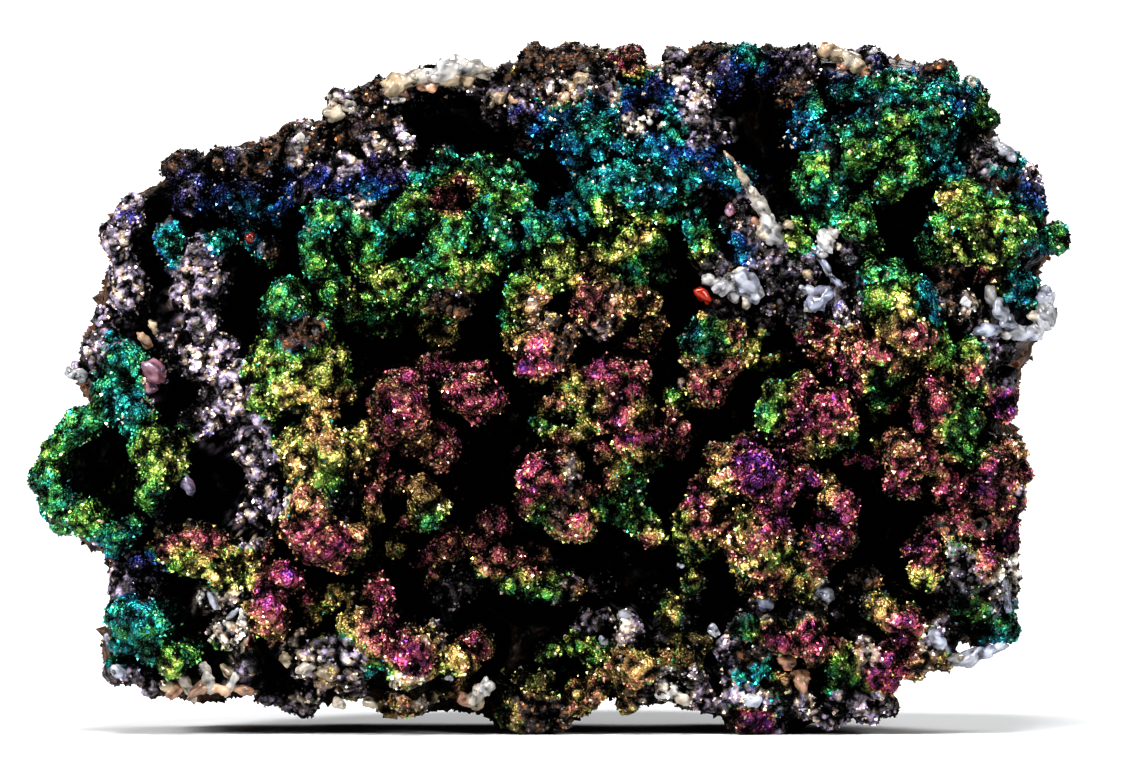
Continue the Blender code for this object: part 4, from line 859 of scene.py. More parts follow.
# %% Marks of the columns
def marks_of(points, outward, finish, open_share):
    """The four numbers at each point, from the finish there, the way the skin faces and its depth. The light
    is painted shade: darker down the flanks, deep between the columns and in the creases between knobs.
    Behind the heads of the rim the film ends and the skin is bare rock."""
    film, bare, tone, bright = [finish[..., k] for k in range(4)]
    facing = np.clip(-outward[..., 1], 0, 1)
    # Painted: down the flanks, and more on the lower left, the colour moves towards thinner film, as a
    # film's colour shifts when it is seen at a slant.
    lower_left = np.clip(-0.5 * outward[..., 0] - 0.7 * outward[..., 2], 0, 1)
    slant_colour_shift = (0.19 * (1 - facing) ** 1.5 + 0.09 * lower_left) * film ** 2
    film = film - slant_colour_shift + 0.07 * clouds(points, 1.3, 21) + 0.05 * clouds(points, 4.5, 22)
    bare = bare + 0.35 * clouds(points, 1.8, 23) * (bare > 0.05)
    tone = tone + (0.18 + 0.14 * (bare > 0.6)) * clouds(points, 0.6, 24)
    around = from_centre(points)
    at_rim = np.clip((np.linalg.norm(around, axis=-1) - 0.80) / 0.12, 0, 1)
    sideways = np.clip((unit(around + 1e-9) * outward).sum(-1), 0, 1) * at_rim
    behind = np.clip((points[..., 1] + 15.0) / 3.0, 0, 1) * at_rim
    bare = np.maximum(bare, behind)
    tone = tone + behind * (0.22 - tone)
    # Painted shade in the creases between the knobs, and on bare rock in the gaps between its crumbs.
    crease = 0.55 * knobs(points, *BIG_KNOBS) + 0.45 * knobs(points, *SMALL_KNOBS)
    patches = 0.75 + 0.5 * clouds(points, 2.4, 25)
    crease_shade = np.clip(4.9 * crease - 2.90, 0.02, 1.45)
    crumb_gap_shade = np.clip(3.4 * knobs(points, 0.62, 9) - 1.75, 0.02, 1.5)
    crease_shade = np.where(bare > 0.6, crease_shade * crumb_gap_shade, crease_shade)
    # Painted light and shade: the finish's brightness in patches that differ at random, darker deep between
    # the columns and on flanks that face neither the viewer nor the rim.
    light = bright * open_share * crease_shade * patches * (0.22 + 0.78 * np.maximum(facing, 0.6 * sideways))
    return {
        "film": np.clip(film, 0, 1), "bare": np.clip(bare, 0, 1),
        "tone": np.clip(tone, 0, 1), "light": np.clip(light, 0, 2.0),
    }


# %% [markdown]
# ## The finish of goethite
# Goethite shines like dull metal, and the film gives it its colour. All goethite here, whether rock,
# column or grain, has this finish, so it is one node group with the four numbers as inputs. Inside it, one
# ramp turns the film's thickness into the colours of a soap film, another turns the tone into bare rock,
# and fine noise frays the edge between them.

# %% Colours of the film and of the bare rock
FILM = [
    (0.00, "3a2c24"), (0.08, "564a80"), (0.16, "38488a"), (0.24, "2764a2"), (0.32, "3ca4b0"),
    (0.40, "3a9c84"), (0.50, "68a856"), (0.59, "a4b862"), (0.67, "d4c07c"), (0.76, "cca074"),
    (0.83, "cc8c86"), (0.89, "b85a6e"), (0.95, "c0689c"), (1.00, "7c4496"),
]
BARE = [
    (0.00, "0e0a08"), (0.10, "624838"), (0.18, "86562c"), (0.27, "2a2422"), (0.45, "6e6664"),
    (0.62, "a698b6"), (0.75, "bea48c"), (0.88, "dccfbc"), (1.00, "f4f1ee"),
]


# %% Helpers for nodes
def linear(code):
    """A colour written as rrggbb, turned into the linear values that shaders work with."""
    parts = np.array([int(code[k:k + 2], 16) for k in (0, 2, 4)]) / 255
    return np.where(parts < 0.04045, parts / 12.92, ((parts + 0.055) / 1.055) ** 2.4)


def new_ramp(tree, stops):
    """A colour ramp through these stops."""
    ramp = tree.nodes.new("ShaderNodeValToRGB")
    elements = ramp.color_ramp.elements
    for _ in stops[2:]:
        elements.new(0.5)
    for element, (position, code) in zip(elements, stops):
        element.position = position
        element.color = (*linear(code), 1)
    return ramp


def computed(tree, operation, first, second, clamp=False):
    """A math node on two values, each either a number or another node's output."""
    node = tree.nodes.new("ShaderNodeMath")
    node.operation = operation
    node.use_clamp = clamp
    for slot, value in zip(node.inputs, (first, second)):
        if isinstance(value, (int, float)):
            slot.default_value = value
        else:
            tree.links.new(value, slot)
    return node.outputs[0]


def scaled(tree, color, strength):
    """A colour times a value, each another node's output."""
    node = tree.nodes.new("ShaderNodeVectorMath")
    node.operation = "SCALE"
    tree.links.new(color, node.inputs[0])
    tree.links.new(strength, node.inputs["Scale"])
    return node.outputs[0]


def mark_value(tree, mark):
    """What the mesh keeps under this mark."""
    reader = tree.nodes.new("ShaderNodeAttribute")
    reader.attribute_name = mark
    return reader.outputs["Fac"]


def blended(tree, share, first, second):
    """A mix of two colours, each another node's output."""
    node = tree.nodes.new("ShaderNodeMix")
    node.data_type = "RGBA"
    for slot, value in ((node.inputs[0], share), (node.inputs[6], first), (node.inputs[7], second)):
        tree.links.new(value, slot)
    return node.outputs[2]


# %% The group
def goethite_group():
    """Film, bareness, tone and light go in; colour, metal, roughness and a height for bumps come out."""
    group = bpy.data.node_groups.new("goethite finish", "ShaderNodeTree")
    sockets = [("Film", 0.5), ("Bareness", 0.0), ("Tone", 0.5), ("Light", 1.0), ("Grain size", 0.35)]
    for name, value in sockets:
        made = group.interface.new_socket(name=name, in_out="INPUT", socket_type="NodeSocketFloat")
        made.default_value = value
    group.interface.new_socket(name="Color", in_out="OUTPUT", socket_type="NodeSocketColor")
    for name in ("Metal", "Roughness", "Height"):
        group.interface.new_socket(name=name, in_out="OUTPUT", socket_type="NodeSocketFloat")
    entry = group.nodes.new("NodeGroupInput")
    leave = group.nodes.new("NodeGroupOutput")
    place = group.nodes.new("ShaderNodeTexCoord")
    fine = group.nodes.new("ShaderNodeTexNoise")
    fine.inputs["Scale"].default_value = 1500
    fine.inputs["Detail"].default_value = 3
    group.links.new(place.outputs["Object"], fine.inputs["Vector"])
    fray = computed(group, "SUBTRACT", fine.outputs["Fac"], 0.5)
    film = computed(group, "ADD", entry.outputs["Film"], computed(group, "MULTIPLY", fray, 0.30), True)
    tone = computed(group, "ADD", entry.outputs["Tone"], computed(group, "MULTIPLY", fray, 0.40), True)
    patchy = computed(group, "ADD", entry.outputs["Bareness"], computed(group, "MULTIPLY", fray, 0.9))
    edge = computed(group, "MULTIPLY", computed(group, "SUBTRACT", patchy, 0.4), 5.0)
    bare = computed(group, "MINIMUM", computed(group, "MAXIMUM", edge, 0.0), 1.0)
    film_ramp = new_ramp(group, FILM)
    bare_ramp = new_ramp(group, BARE)
    group.links.new(film, film_ramp.inputs["Fac"])
    group.links.new(tone, bare_ramp.inputs["Fac"])
    color = blended(group, bare, film_ramp.outputs["Color"], bare_ramp.outputs["Color"])
    group.links.new(scaled(group, color, entry.outputs["Light"]), leave.inputs["Color"])
    metal = computed(group, "SUBTRACT", 0.85, computed(group, "MULTIPLY", bare, 0.75))
    unlit = computed(group, "SUBTRACT", 1.0, computed(group, "MULTIPLY", entry.outputs["Light"], 4.0), True)
    group.links.new(computed(group, "MAXIMUM", metal, unlit), leave.inputs["Metal"])
    group.links.new(computed(group, "ADD", 0.34, computed(group, "MULTIPLY", bare, 0.22)),
                    leave.inputs["Roughness"])
    cells = group.nodes.new("ShaderNodeTexVoronoi")
    group.links.new(place.outputs["Object"], cells.inputs["Vector"])
    group.links.new(computed(group, "DIVIDE", 1000.0, entry.outputs["Grain size"]), cells.inputs["Scale"])
    group.links.new(computed(group, "MULTIPLY", cells.outputs["Distance"], -1.0), leave.inputs["Height"])
    return group


finish_group = goethite_group()


def goethite(name, coat, bump, grain_size):
    """A goethite material: the group's outputs on a shader, with the marks of the mesh as its inputs."""
    made = bpy.data.materials.new(name)
    made.use_nodes = True
    tree = made.node_tree
    shader = tree.nodes["Principled BSDF"]
    finish = tree.nodes.new("ShaderNodeGroup")
    finish.node_tree = finish_group
    finish.inputs["Grain size"].default_value = grain_size
    for mark, entry in (("film", "Film"), ("bare", "Bareness"), ("tone", "Tone"), ("light", "Light")):
        tree.links.new(mark_value(tree, mark), finish.inputs[entry])
    for result, entry in (("Color", "Base Color"), ("Metal", "Metallic"), ("Roughness", "Roughness")):
        tree.links.new(finish.outputs[result], shader.inputs[entry])
    shader.inputs["Coat Weight"].default_value = coat
    shader.inputs["Coat Roughness"].default_value = 0.25
    bumps = tree.nodes.new("ShaderNodeBump")
    bumps.inputs["Strength"].default_value = bump
    bumps.inputs["Distance"].default_value = 0.0003
    tree.links.new(finish.outputs["Height"], bumps.inputs["Height"])
    tree.links.new(bumps.outputs["Normal"], shader.inputs["Normal"])
    return made


crust_material = goethite("goethite crust", 0.0, 1.0, 0.38)
grain_material = goethite("goethite grains", 0.35, 0.0, 0.3)
rock_material = goethite("goethite rock", 0.0, 0.9, 0.7)


# %% [markdown]
# ## The crust and its grains
# Each zone's columns are one piece of crust. Over it lie tens of thousands of grains, each a small
# crystal with four sides and a point, because it is their flat faces that glint. They are scattered over
# the skin by the area of its triangles. One whose place lies inside another column, or deep in a recess
# where nobody sees it, is left out.

# %% Scattering grains
GRAINS = 137000
MOST_GRAINS = 33000             # in one zone
GRAIN_HALF = (0.11, 0.26)       # half the width of a grain, smallest and largest, in millimetres
GRAIN_SKIN = 0.05               # how far its middle stands out of the crust
grain_faces = np.array([[0, 1, 2], [0, 2, 3], [0, 3, 4], [0, 4, 1], [1, 3, 2], [1, 4, 3]])
middle, right, top, left, bottom = (0.5, 0.5), (1, 0.5), (0.5, 1), (0, 0.5), (0.5, 0)
grain_map = np.array([
    [middle, right, top], [middle, top, left], [middle, left, bottom], [middle, bottom, right],
    [(1, 1), (0.8, 1), (1, 0.8)], [(0, 0), (0.2, 0), (0, 0.2)],
])


def sown(points, triangles, weights, count, rng):
    """Random places on the triangles, each triangle as often as its weight asks: a place is the sum of
    its three corners times three random shares that add to one."""
    ladder = np.cumsum(weights)
    number = np.searchsorted(ladder, rng.random(count) * ladder[-1])
    number = np.minimum(number, len(triangles) - 1)
    shares = rng.dirichlet([1, 1, 1], count)
    corner = points[triangles[number]]
    return (corner * shares[..., None]).sum(1), number


def grain_points(places, normals, rng, half):
    """Five points a grain: its tip, along a leaning axis, and four round it, which lie in the crust."""
    count = len(places)
    half = half[:, None]
    axis = unit(normals + rng.normal(0, 0.30, (count, 3)))
    across = unit(np.cross(axis, unit(rng.normal(0, 1, (count, 3)))))
    along = np.cross(axis, across)
    tall = half * rng.uniform(0.8, 1.5, (count, 1))
    wide = half * rng.uniform(0.75, 1.25, (count, 4))
    middle_of = places + normals * GRAIN_SKIN
    ring = [
        middle_of + across * wide[:, [0]], middle_of + along * wide[:, [1]],
        middle_of - across * wide[:, [2]], middle_of - along * wide[:, [3]],
    ]
    return np.stack([middle_of + axis * tall, *ring], 1)


def new_grains(name, points, marks, material):
    """A piece of many flat-faced grains, each of which has one value of every mark."""
    count, each = points.shape[:2]
    marks = {mark: np.repeat(values, each) for mark, values in marks.items()}
    faces = repeated(grain_faces, each, count)
    new_piece(name, points.reshape(-1, 3), faces, squares(grain_map, count), marks, material, False)


# %% [markdown]
# The crust's skins are kept for sowing. A triangle that faces the viewer and lies in the open gets grains,
# and one that faces back or lies deep gets few or none.

# %% Crust, zone by zone
# Painted shade: the crust is seen only in the gaps between its grains, so its light is lowered.
CRUST_GAP_SHADE = 0.8      # the crust shows only between its grains
skins = {}
for number, zone in enumerate(ZONES):
    pick = np.flatnonzero(zone_of == number)
    skin = swollen(column_points(pick), pick)
    triangles = repeated(column_faces, points_each, len(pick))
    flat = skin.reshape(-1, 3)
    flat[:, 2] = np.maximum(flat[:, 2], 0.0)
    normals = point_normals(flat, triangles)
    finish = finish_at(flat)
    open_share = openness(flat, normals)
    marks = marks_of(flat, normals, finish, open_share)
    marks["light"] = marks["light"] * CRUST_GAP_SHADE
    places = squares(column_map, len(pick))
    new_piece(f"crust_{zone}", flat, triangles, places, marks, crust_material, True)
    face_normals = triangle_normals(flat, triangles)
    area = np.linalg.norm(face_normals, axis=1) / 2
    facing = -unit(face_normals)[:, 1]
    seen = open_share[triangles].mean(1)
    weights = area * np.clip((facing + 0.35) / 0.3, 0, 1) * np.clip(seen / 0.12, 0, 1)
    skins[zone] = (flat, triangles, normals, finish, weights)


# %% Grains, zone by zone
whole = sum(skin[4].sum() for skin in skins.values())
rng = np.random.default_rng(4)
for zone, (flat, triangles, normals, finish, weights) in skins.items():
    wanted = min(int(GRAINS * weights.sum() / whole), MOST_GRAINS)
    places, number = sown(flat, triangles, weights, int(wanted * 1.6), rng)
    away = normals[triangles[number, 0]]
    free = ~looked_up(filled, places + 0.45 * away)
    keep = np.flatnonzero(free & (places[:, 2] > 0.5))[:wanted]
    places, away, number = places[keep], away[keep], number[keep]
    kind = finish[triangles[number, 0]]
    marks = marks_of(places, away, kind, openness(places, away))
    count = len(places)
    thin = rng.random(count) < 0.22 * marks["film"] ** 2
    stray = rng.normal(0, 0.035, count) - thin * rng.uniform(0.08, 0.32, count)
    marks["film"] = np.clip(marks["film"] + stray, 0, 1)
    # A few grains are pale: painted pale glints.
    pale = rng.random(count) < 0.06
    marks["bare"] = np.where(pale, 1, marks["bare"] + rng.normal(0, 0.12, count))
    marks["tone"] = np.where(pale, 0.82, marks["tone"] + rng.normal(0, 0.12, count))
    # Each grain is brighter than the crust by a random factor: painted glints, and brightness that differs
    # at random.
    marks["light"] = marks["light"] * np.exp(rng.normal(0.45, 0.5, count))
    points = grain_points(places, away, rng, rng.uniform(*GRAIN_HALF, count))
    new_grains(f"grains_{zone}", points, marks, grain_material)


# %% [markdown]
# ## The rock behind
# Behind the crust is the chunk itself. Its skin is a grid: one way runs round the outline, the other from
# the middle of the face over the rim, along the side and over the back to its middle. The floor between
# the columns sinks in the hollows, and rises to the foot of each column. The back is broken along a few
# flat faces, and every point of it moves in or out with the noise.

# %% The outline, the hollows, the breaks and the feet
# The outline of the specimen: across and down
OUTLINE = """
28 447  60 425  80 412  88 395  84 385  62 373  66 360  75 338  84 330  89 312  94 290  104 270  101 250
106 222  110 202  122 195  150 177  163 156  175 155  190 160  215 150  240 148  262 136  275 125  297 118
307 130  327 117  336 112  334 97  352 85  370 75  402 65  450 60  485 63  492 66  507 56  522 55  540 44
580 40  612 43  637 43  648 58  659 73  662 57  670 48  695 48  722 39  748 36  770 40  782 46  800 41
825 44  845 40  862 43  883 46  900 56  935 60  958 58  966 78  980 86  988 112  1001 130  1012 150
1035 168  1048 182  1053 205  1062 221  1073 233  1073 247  1055 262  1046 272  1057 290  1058 335
1025 342  1013 367  1020 392  1008 420  1012 437  1028 443  1032 462  1038 476  1026 486  1032 500
1022 530  1024 560  1030 570  1024 590  1020 620  1015 640  960 645  944 658  942 671  925 684  900 690
893 700  890 714  872 727  835 731  808 728  780 742  748 742  727 718  706 719  690 713  672 706  645 706
627 709  615 697  600 706  580 718  560 735  512 736  500 720  480 707  440 709  418 722  398 720  385 702
366 696  325 707  298 721  285 710  255 703  215 703  165 699  145 702  130 697  101 685  94 655  103 620
107 585  112 560  80 540  40 515  35 505  42 483  30 460
"""

# Deep recesses between the columns: across, down, half width, half height and reach of the floor
HOLLOWS = """
107 472 27 52 3  250 295 18 30 6  208 482 20 42 5  188 622 28 38 5  430 122 38 24 5  508 135 20 18 7
558 175 15 32 5  768 120 32 45 2  788 180 24 38 2  848 110 17 14 6  905 222 26 26 6  962 135 18 30 5
780 330 28 26 7  957 330 13 24 8  722 425 28 24 6  672 480 26 34 6  605 558 42 20 6  470 470 22 40 7
505 640 42 26 6  880 525 38 34 6  852 628 16 24 7  318 622 26 14 9  415 600 18 28 8  870 425 16 14 9
"""

# Broken faces of the back: (outward direction, distance from the middle of the chunk)
BREAKS = [
    ((0.12, 0.99, 0.06), 21.0),
    ((0.10, 0.75, 0.65), 29.0),
    ((-0.80, 0.60, 0.05), 41.0),
    ((0.78, 0.60, -0.15), 42.0),
    ((-0.10, 0.70, -0.70), 34.5),
    ((-0.50, 0.62, 0.60), 37.0),
    ((0.62, 0.50, -0.60), 46.5),
    ((0.55, 0.60, 0.58), 41.0),
]

# Lumps that touch the table: (across, half width, half length)
FEET = [
    (531, 5.0, 14.0),
    (764, 4.2, 13.0),
]
FOOT_HEIGHT = 4.4       # the middle of a foot stands this high
FOOT_HALF_HEIGHT = 6.0


# %% Measures of the rock
HOLLOW_MOUTH = 26.0     # the recesses are widest this far in front of the middle plane
FLOOR = 11.5            # the floor between the columns
RIM = 14.0
BACK = 23.5
ROCK_AROUND = 560
FRONT_ROWS = 78
SIDE_ROWS = 46
BACK_ROWS = 46
SIDE_PROFILE = [        # (y, size against the outline), from the front rim to the back one
    (-14.0, 0.945), (-12.5, 0.965), (-9.0, 0.980), (-5.0, 0.985), (0.0, 0.985), (5.0, 0.970), (10.0, 0.950),
    (15.0, 0.915), (19.0, 0.880), (21.5, 0.84),
]


# %% Outline and floor
def even_outline(count):
    """The outline's points as (x, z), laid evenly along its length, anticlockwise as the viewer sees it."""
    outline = table(OUTLINE, 2)
    ring = np.concatenate([outline[::-1], outline[-1:]])
    length = np.concatenate([[0], np.cumsum(np.linalg.norm(np.diff(ring, axis=0), axis=1))])
    at = np.arange(count) / count * length[-1]
    across, down = [np.interp(at, length, ring[:, k]) for k in (0, 1)]
    return on_face(across, down, 0.0)[:, [0, 2]]


def eased(values, steps):
    """Values round a ring, each replaced by the mean of itself and its neighbours, steps times."""
    for _ in range(steps):
        values = (np.roll(values, 1, 0) + 2 * values + np.roll(values, -1, 0)) / 4
    return values


def floor_reach(x, z):
    """How far the floor stands out: the flat floor, less the hollows, which are ellipsoids, and raised
    round each column to a cone whose top lies behind its head."""
    across, down = x / UNIT + FACE_MIDDLE, FACE_BASE - z / UNIT
    reach = np.full(x.shape, FLOOR)
    for middle_across, middle_down, half_width, half_height, floor in table(HOLLOWS, 5):
        inside = 1 - ((across - middle_across) / half_width) ** 2 - ((down - middle_down) / half_height) ** 2
        sunk = HOLLOW_MOUTH - (HOLLOW_MOUTH - floor) * np.sqrt(np.maximum(inside, 0))
        reach = np.minimum(reach, np.where(inside > 0, sunk, FLOOR))
    for row in range(len(x)):
        gap = np.hypot(x[row][:, None] - heads[:, 0], z[row][:, None] - heads[:, 2])
        top = columns[:, 3] - 2.3 * radii - 1.7 * np.maximum(0, gap - 0.5 * radii)
        reach[row] = np.maximum(reach[row], top.max(1))
    return reach


# %% [markdown]
# Towards the back the outline loses its small notches, because a broken side doesn't repeat the face's
# edge. So each row takes the outline after some rounds of easing, the more the further back it lies.

# %% The grid of points
ring = even_outline(ROCK_AROUND)
centre = on_face(FACE_MIDDLE, FACE_CENTRE, 0.0)[[0, 2]]
profile = np.array(SIDE_PROFILE)
side_at = np.linspace(0, 1, SIDE_ROWS) * (len(profile) - 1)
side_y = np.interp(side_at, np.arange(len(profile)), profile[:, 0])
side_size = np.interp(side_at, np.arange(len(profile)), profile[:, 1])
front_size = profile[0, 1] * (np.arange(1, FRONT_ROWS) / FRONT_ROWS)
back_size = profile[-1, 1] * (np.arange(BACK_ROWS, 0, -1) / (BACK_ROWS + 1))
size = np.concatenate([front_size, side_size, back_size])
flat_y = np.concatenate([np.full(FRONT_ROWS - 1, -RIM), side_y, np.full(BACK_ROWS, BACK)])
rows = len(size)
depth_of = np.clip((flat_y + RIM) / 30, 0, 1)
shapes = [ring - centre]
for _ in range(12):
    shapes.append(eased(shapes[-1], 10))
softness = np.clip(depth_of * 12, 0, 11.99)
level = softness.astype(int)
mixed_in = (softness - level)[:, None, None]
stack = np.stack(shapes)
rings = stack[level] * (1 - mixed_in) + stack[level + 1] * mixed_in
rock = np.empty((rows, ROCK_AROUND, 3))
rock[..., 0] = centre[0] + rings[..., 0] * size[:, None]
rock[..., 2] = centre[1] + rings[..., 1] * size[:, None]
rock[..., 1] = flat_y[:, None]
in_front = slice(0, FRONT_ROWS)
collar = np.clip((size[in_front, None] - 0.86) / 0.06, 0, 1)     # the rim stands out past the floor
reach = floor_reach(rock[in_front, :, 0], rock[in_front, :, 2])
rock[in_front, :, 1] = -np.maximum(reach, reach + collar * (RIM - reach))
print("rock grid:", rows, "rows of", ROCK_AROUND, "points")


# %% [markdown]
# The broken faces are planes. A point beyond one of them is drawn back towards the middle of the chunk
# until it lies on the plane, which keeps the grid tidy. The feet are lumps below, whose undersides are
# flattened where they touch the table.

# %% Breaks, noise and feet
# The knobs of the broken rock, coarse, middling and fine: (size in millimetres, seed)
ROCK_KNOBS = ((5.5, 38), (2.6, 33), (1.3, 35))
middle_point = np.array([centre[0], 0.0, centre[1]])
from_middle = rock - middle_point
for direction, distance in BREAKS:
    outward = np.array(direction) / np.linalg.norm(direction)
    beyond = from_middle @ outward
    drawn_in = np.where(beyond > distance, distance / np.maximum(beyond, 1e-6), 1)
    from_middle = from_middle * drawn_in[..., None]
rock = middle_point + from_middle
tip_point = np.array([centre[0], -floor_reach(centre[None, :1], centre[None, 1:])[0, 0], centre[1]])
root_point = np.array([centre[0], rock[-1, :, 1].mean(), centre[1]])
rock_faces = tube_triangles(rows, ROCK_AROUND)
rock_points = np.concatenate([[tip_point], rock.reshape(-1, 3), [root_point]])
rock_normals = point_normals(rock_points, rock_faces)
broken = np.clip((rock_points[:, 1] + 11.0) / 6.0, 0, 1)
rough = 1.5 * clouds(rock_points, 9.0, 31) + 0.9 * clouds(rock_points, 4.0, 32)
coarse, middling, fine = [knobs(rock_points, size, seed) for size, seed in ROCK_KNOBS]
rough = rough + 0.9 * (middling - 0.5) + 0.5 * (fine - 0.5)
rough = rough + 1.5 * (coarse - 0.6) + 0.25 * clouds(rock_points, 0.9, 34)
pitted = 0.5 * clouds(rock_points, 2.0, 36) + 0.5 * (knobs(rock_points, 1.2, 37) - 0.5)
move = broken * (rough - 0.6) + (1 - broken) * pitted
rock_points = rock_points + rock_normals * move[:, None]
for across, half_width, half_length in FEET:
    foot_x = (across - FACE_MIDDLE) * UNIT
    inside = 1 - ((rock_points[:, 0] - foot_x) / half_width) ** 2 - (rock_points[:, 1] / half_length) ** 2
    sole = FOOT_HEIGHT - FOOT_HALF_HEIGHT * np.sqrt(np.maximum(inside, 0))
    low = (inside > 0) & (rock_points[:, 2] < FOOT_HEIGHT + 1.5) & (rock_normals[:, 2] < 0)
    rock_points[low, 2] = np.minimum(rock_points[low, 2], sole[low])
rock_points[:, 2] = np.maximum(rock_points[:, 2], 0.0)


# %% The rock as a piece
rock_normals = point_normals(rock_points, rock_faces)
DUST = (7.0, 43)        # size and seed of the patches of ochre dust
dusty = clouds(rock_points, *DUST) + 0.6 * clouds(rock_points, 2.2, 42)
coarse, middling, fine = [knobs(rock_points, size, seed) for size, seed in ROCK_KNOBS]
# Painted shade: the rock is darker in the creases between its knobs and lighter on their tops.
sunk = middling + fine + coarse
side_tone = 0.255 - 0.15 * np.clip(dusty - 0.15, -0.1, 0.9) + 0.05 * clouds(rock_points, 0.8, 41)
rock_marks = {
    "film": np.full(len(rock_points), 0.04),
    "bare": np.ones(len(rock_points)),
    "tone": np.clip(side_tone, 0.02, 1),
    "light": np.clip(0.42 * sunk - 0.42, 0.04, 0.8),
}
on_front = np.flatnonzero(rock_points[:, 1] < -9.5)
floor_finish = finish_at(rock_points[on_front])
floor_marks = marks_of(rock_points[on_front], rock_normals[on_front], floor_finish, 1.0)
greyness = np.clip((floor_finish[:, 1] - 0.5) / 0.3, 0, 1) * (floor_finish[:, 2] > 0.4)
# Painted shade: the floor deep between the columns is nearly black, and only its grey places keep some
# light.
floor_marks["light"] = floor_marks["light"] * (0.035 + 0.45 * greyness)
share = np.clip((rock_points[on_front, 1] + 12.5) / 3.0, 0, 1)
for mark, values in floor_marks.items():
    rock_marks[mark][on_front] = (1 - share) * values + share * rock_marks[mark][on_front]
rock_places = squares(tube_map(rows, ROCK_AROUND), 1)
new_piece("goethite_rock", rock_points, rock_faces, rock_places, rock_marks, rock_material, True)


# %% [markdown]
# A broken side isn't one skin: angular bits of every size stick to it. They are sown like the grains of
# the crust, but larger, and lie deep in the rock.

# %% Crumbs of the sides and the back
CRUMBS = 3700           # coarse ones, and four times as many fine ones


def crumb_marks(places, rng):
    """Each crumb is rock of its own shade, from black over rust and grey to a little pale quartz."""
    count = len(places)
    dusty = clouds(places, *DUST)
    tone = 0.255 - 0.14 * np.clip(dusty - 0.15 + rng.normal(0, 0.35, count), -0.1, 0.9)
    pale = rng.random(count) < 0.06
    tone = np.where(pale, rng.uniform(0.45, 0.85, count), tone)
    return {
        "film": np.full(count, 0.04), "bare": np.ones(count), "tone": np.clip(tone, 0.02, 1),
        "light": rng.uniform(0.25, 1.0, count) * np.where(pale, 0.7, 1),
    }


rng = np.random.default_rng(8)
rock_areas = np.linalg.norm(triangle_normals(rock_points, rock_faces), axis=1)
behind = np.clip((rock_points[rock_faces[:, 0], 1] + 10.0) / 6.0, 0, 1)
above = rock_points[rock_faces[:, 0], 2] > 1.2
for name, count, half, skin_at in (
    ("crumbs_coarse", CRUMBS, (0.3, 1.0), -0.35), ("crumbs_fine", 4 * CRUMBS, (0.14, 0.4), 0.0),
):
    places, number = sown(rock_points, rock_faces, rock_areas * behind * above, count, rng)
    away = rock_normals[rock_faces[number, 0]]
    size = rng.uniform(0, 1, count) ** 2.2 * (half[1] - half[0]) + half[0]
    points = grain_points(places + away * skin_at, away, rng, size)
    points[..., 2] = np.maximum(points[..., 2], 0.0)
    new_grains(name, points, crumb_marks(places, rng), rock_material)


# %% [markdown]
# ## Quartz
# The white bits are quartz. A quartz crystal has six sides and a point at each end, and here most are
# broken, so their sides and points are uneven. Seven numbers of the tables make one crystal, and a handful
# of smaller ones grow round it. Their tint runs from red over peach and cream to white and a cold white.

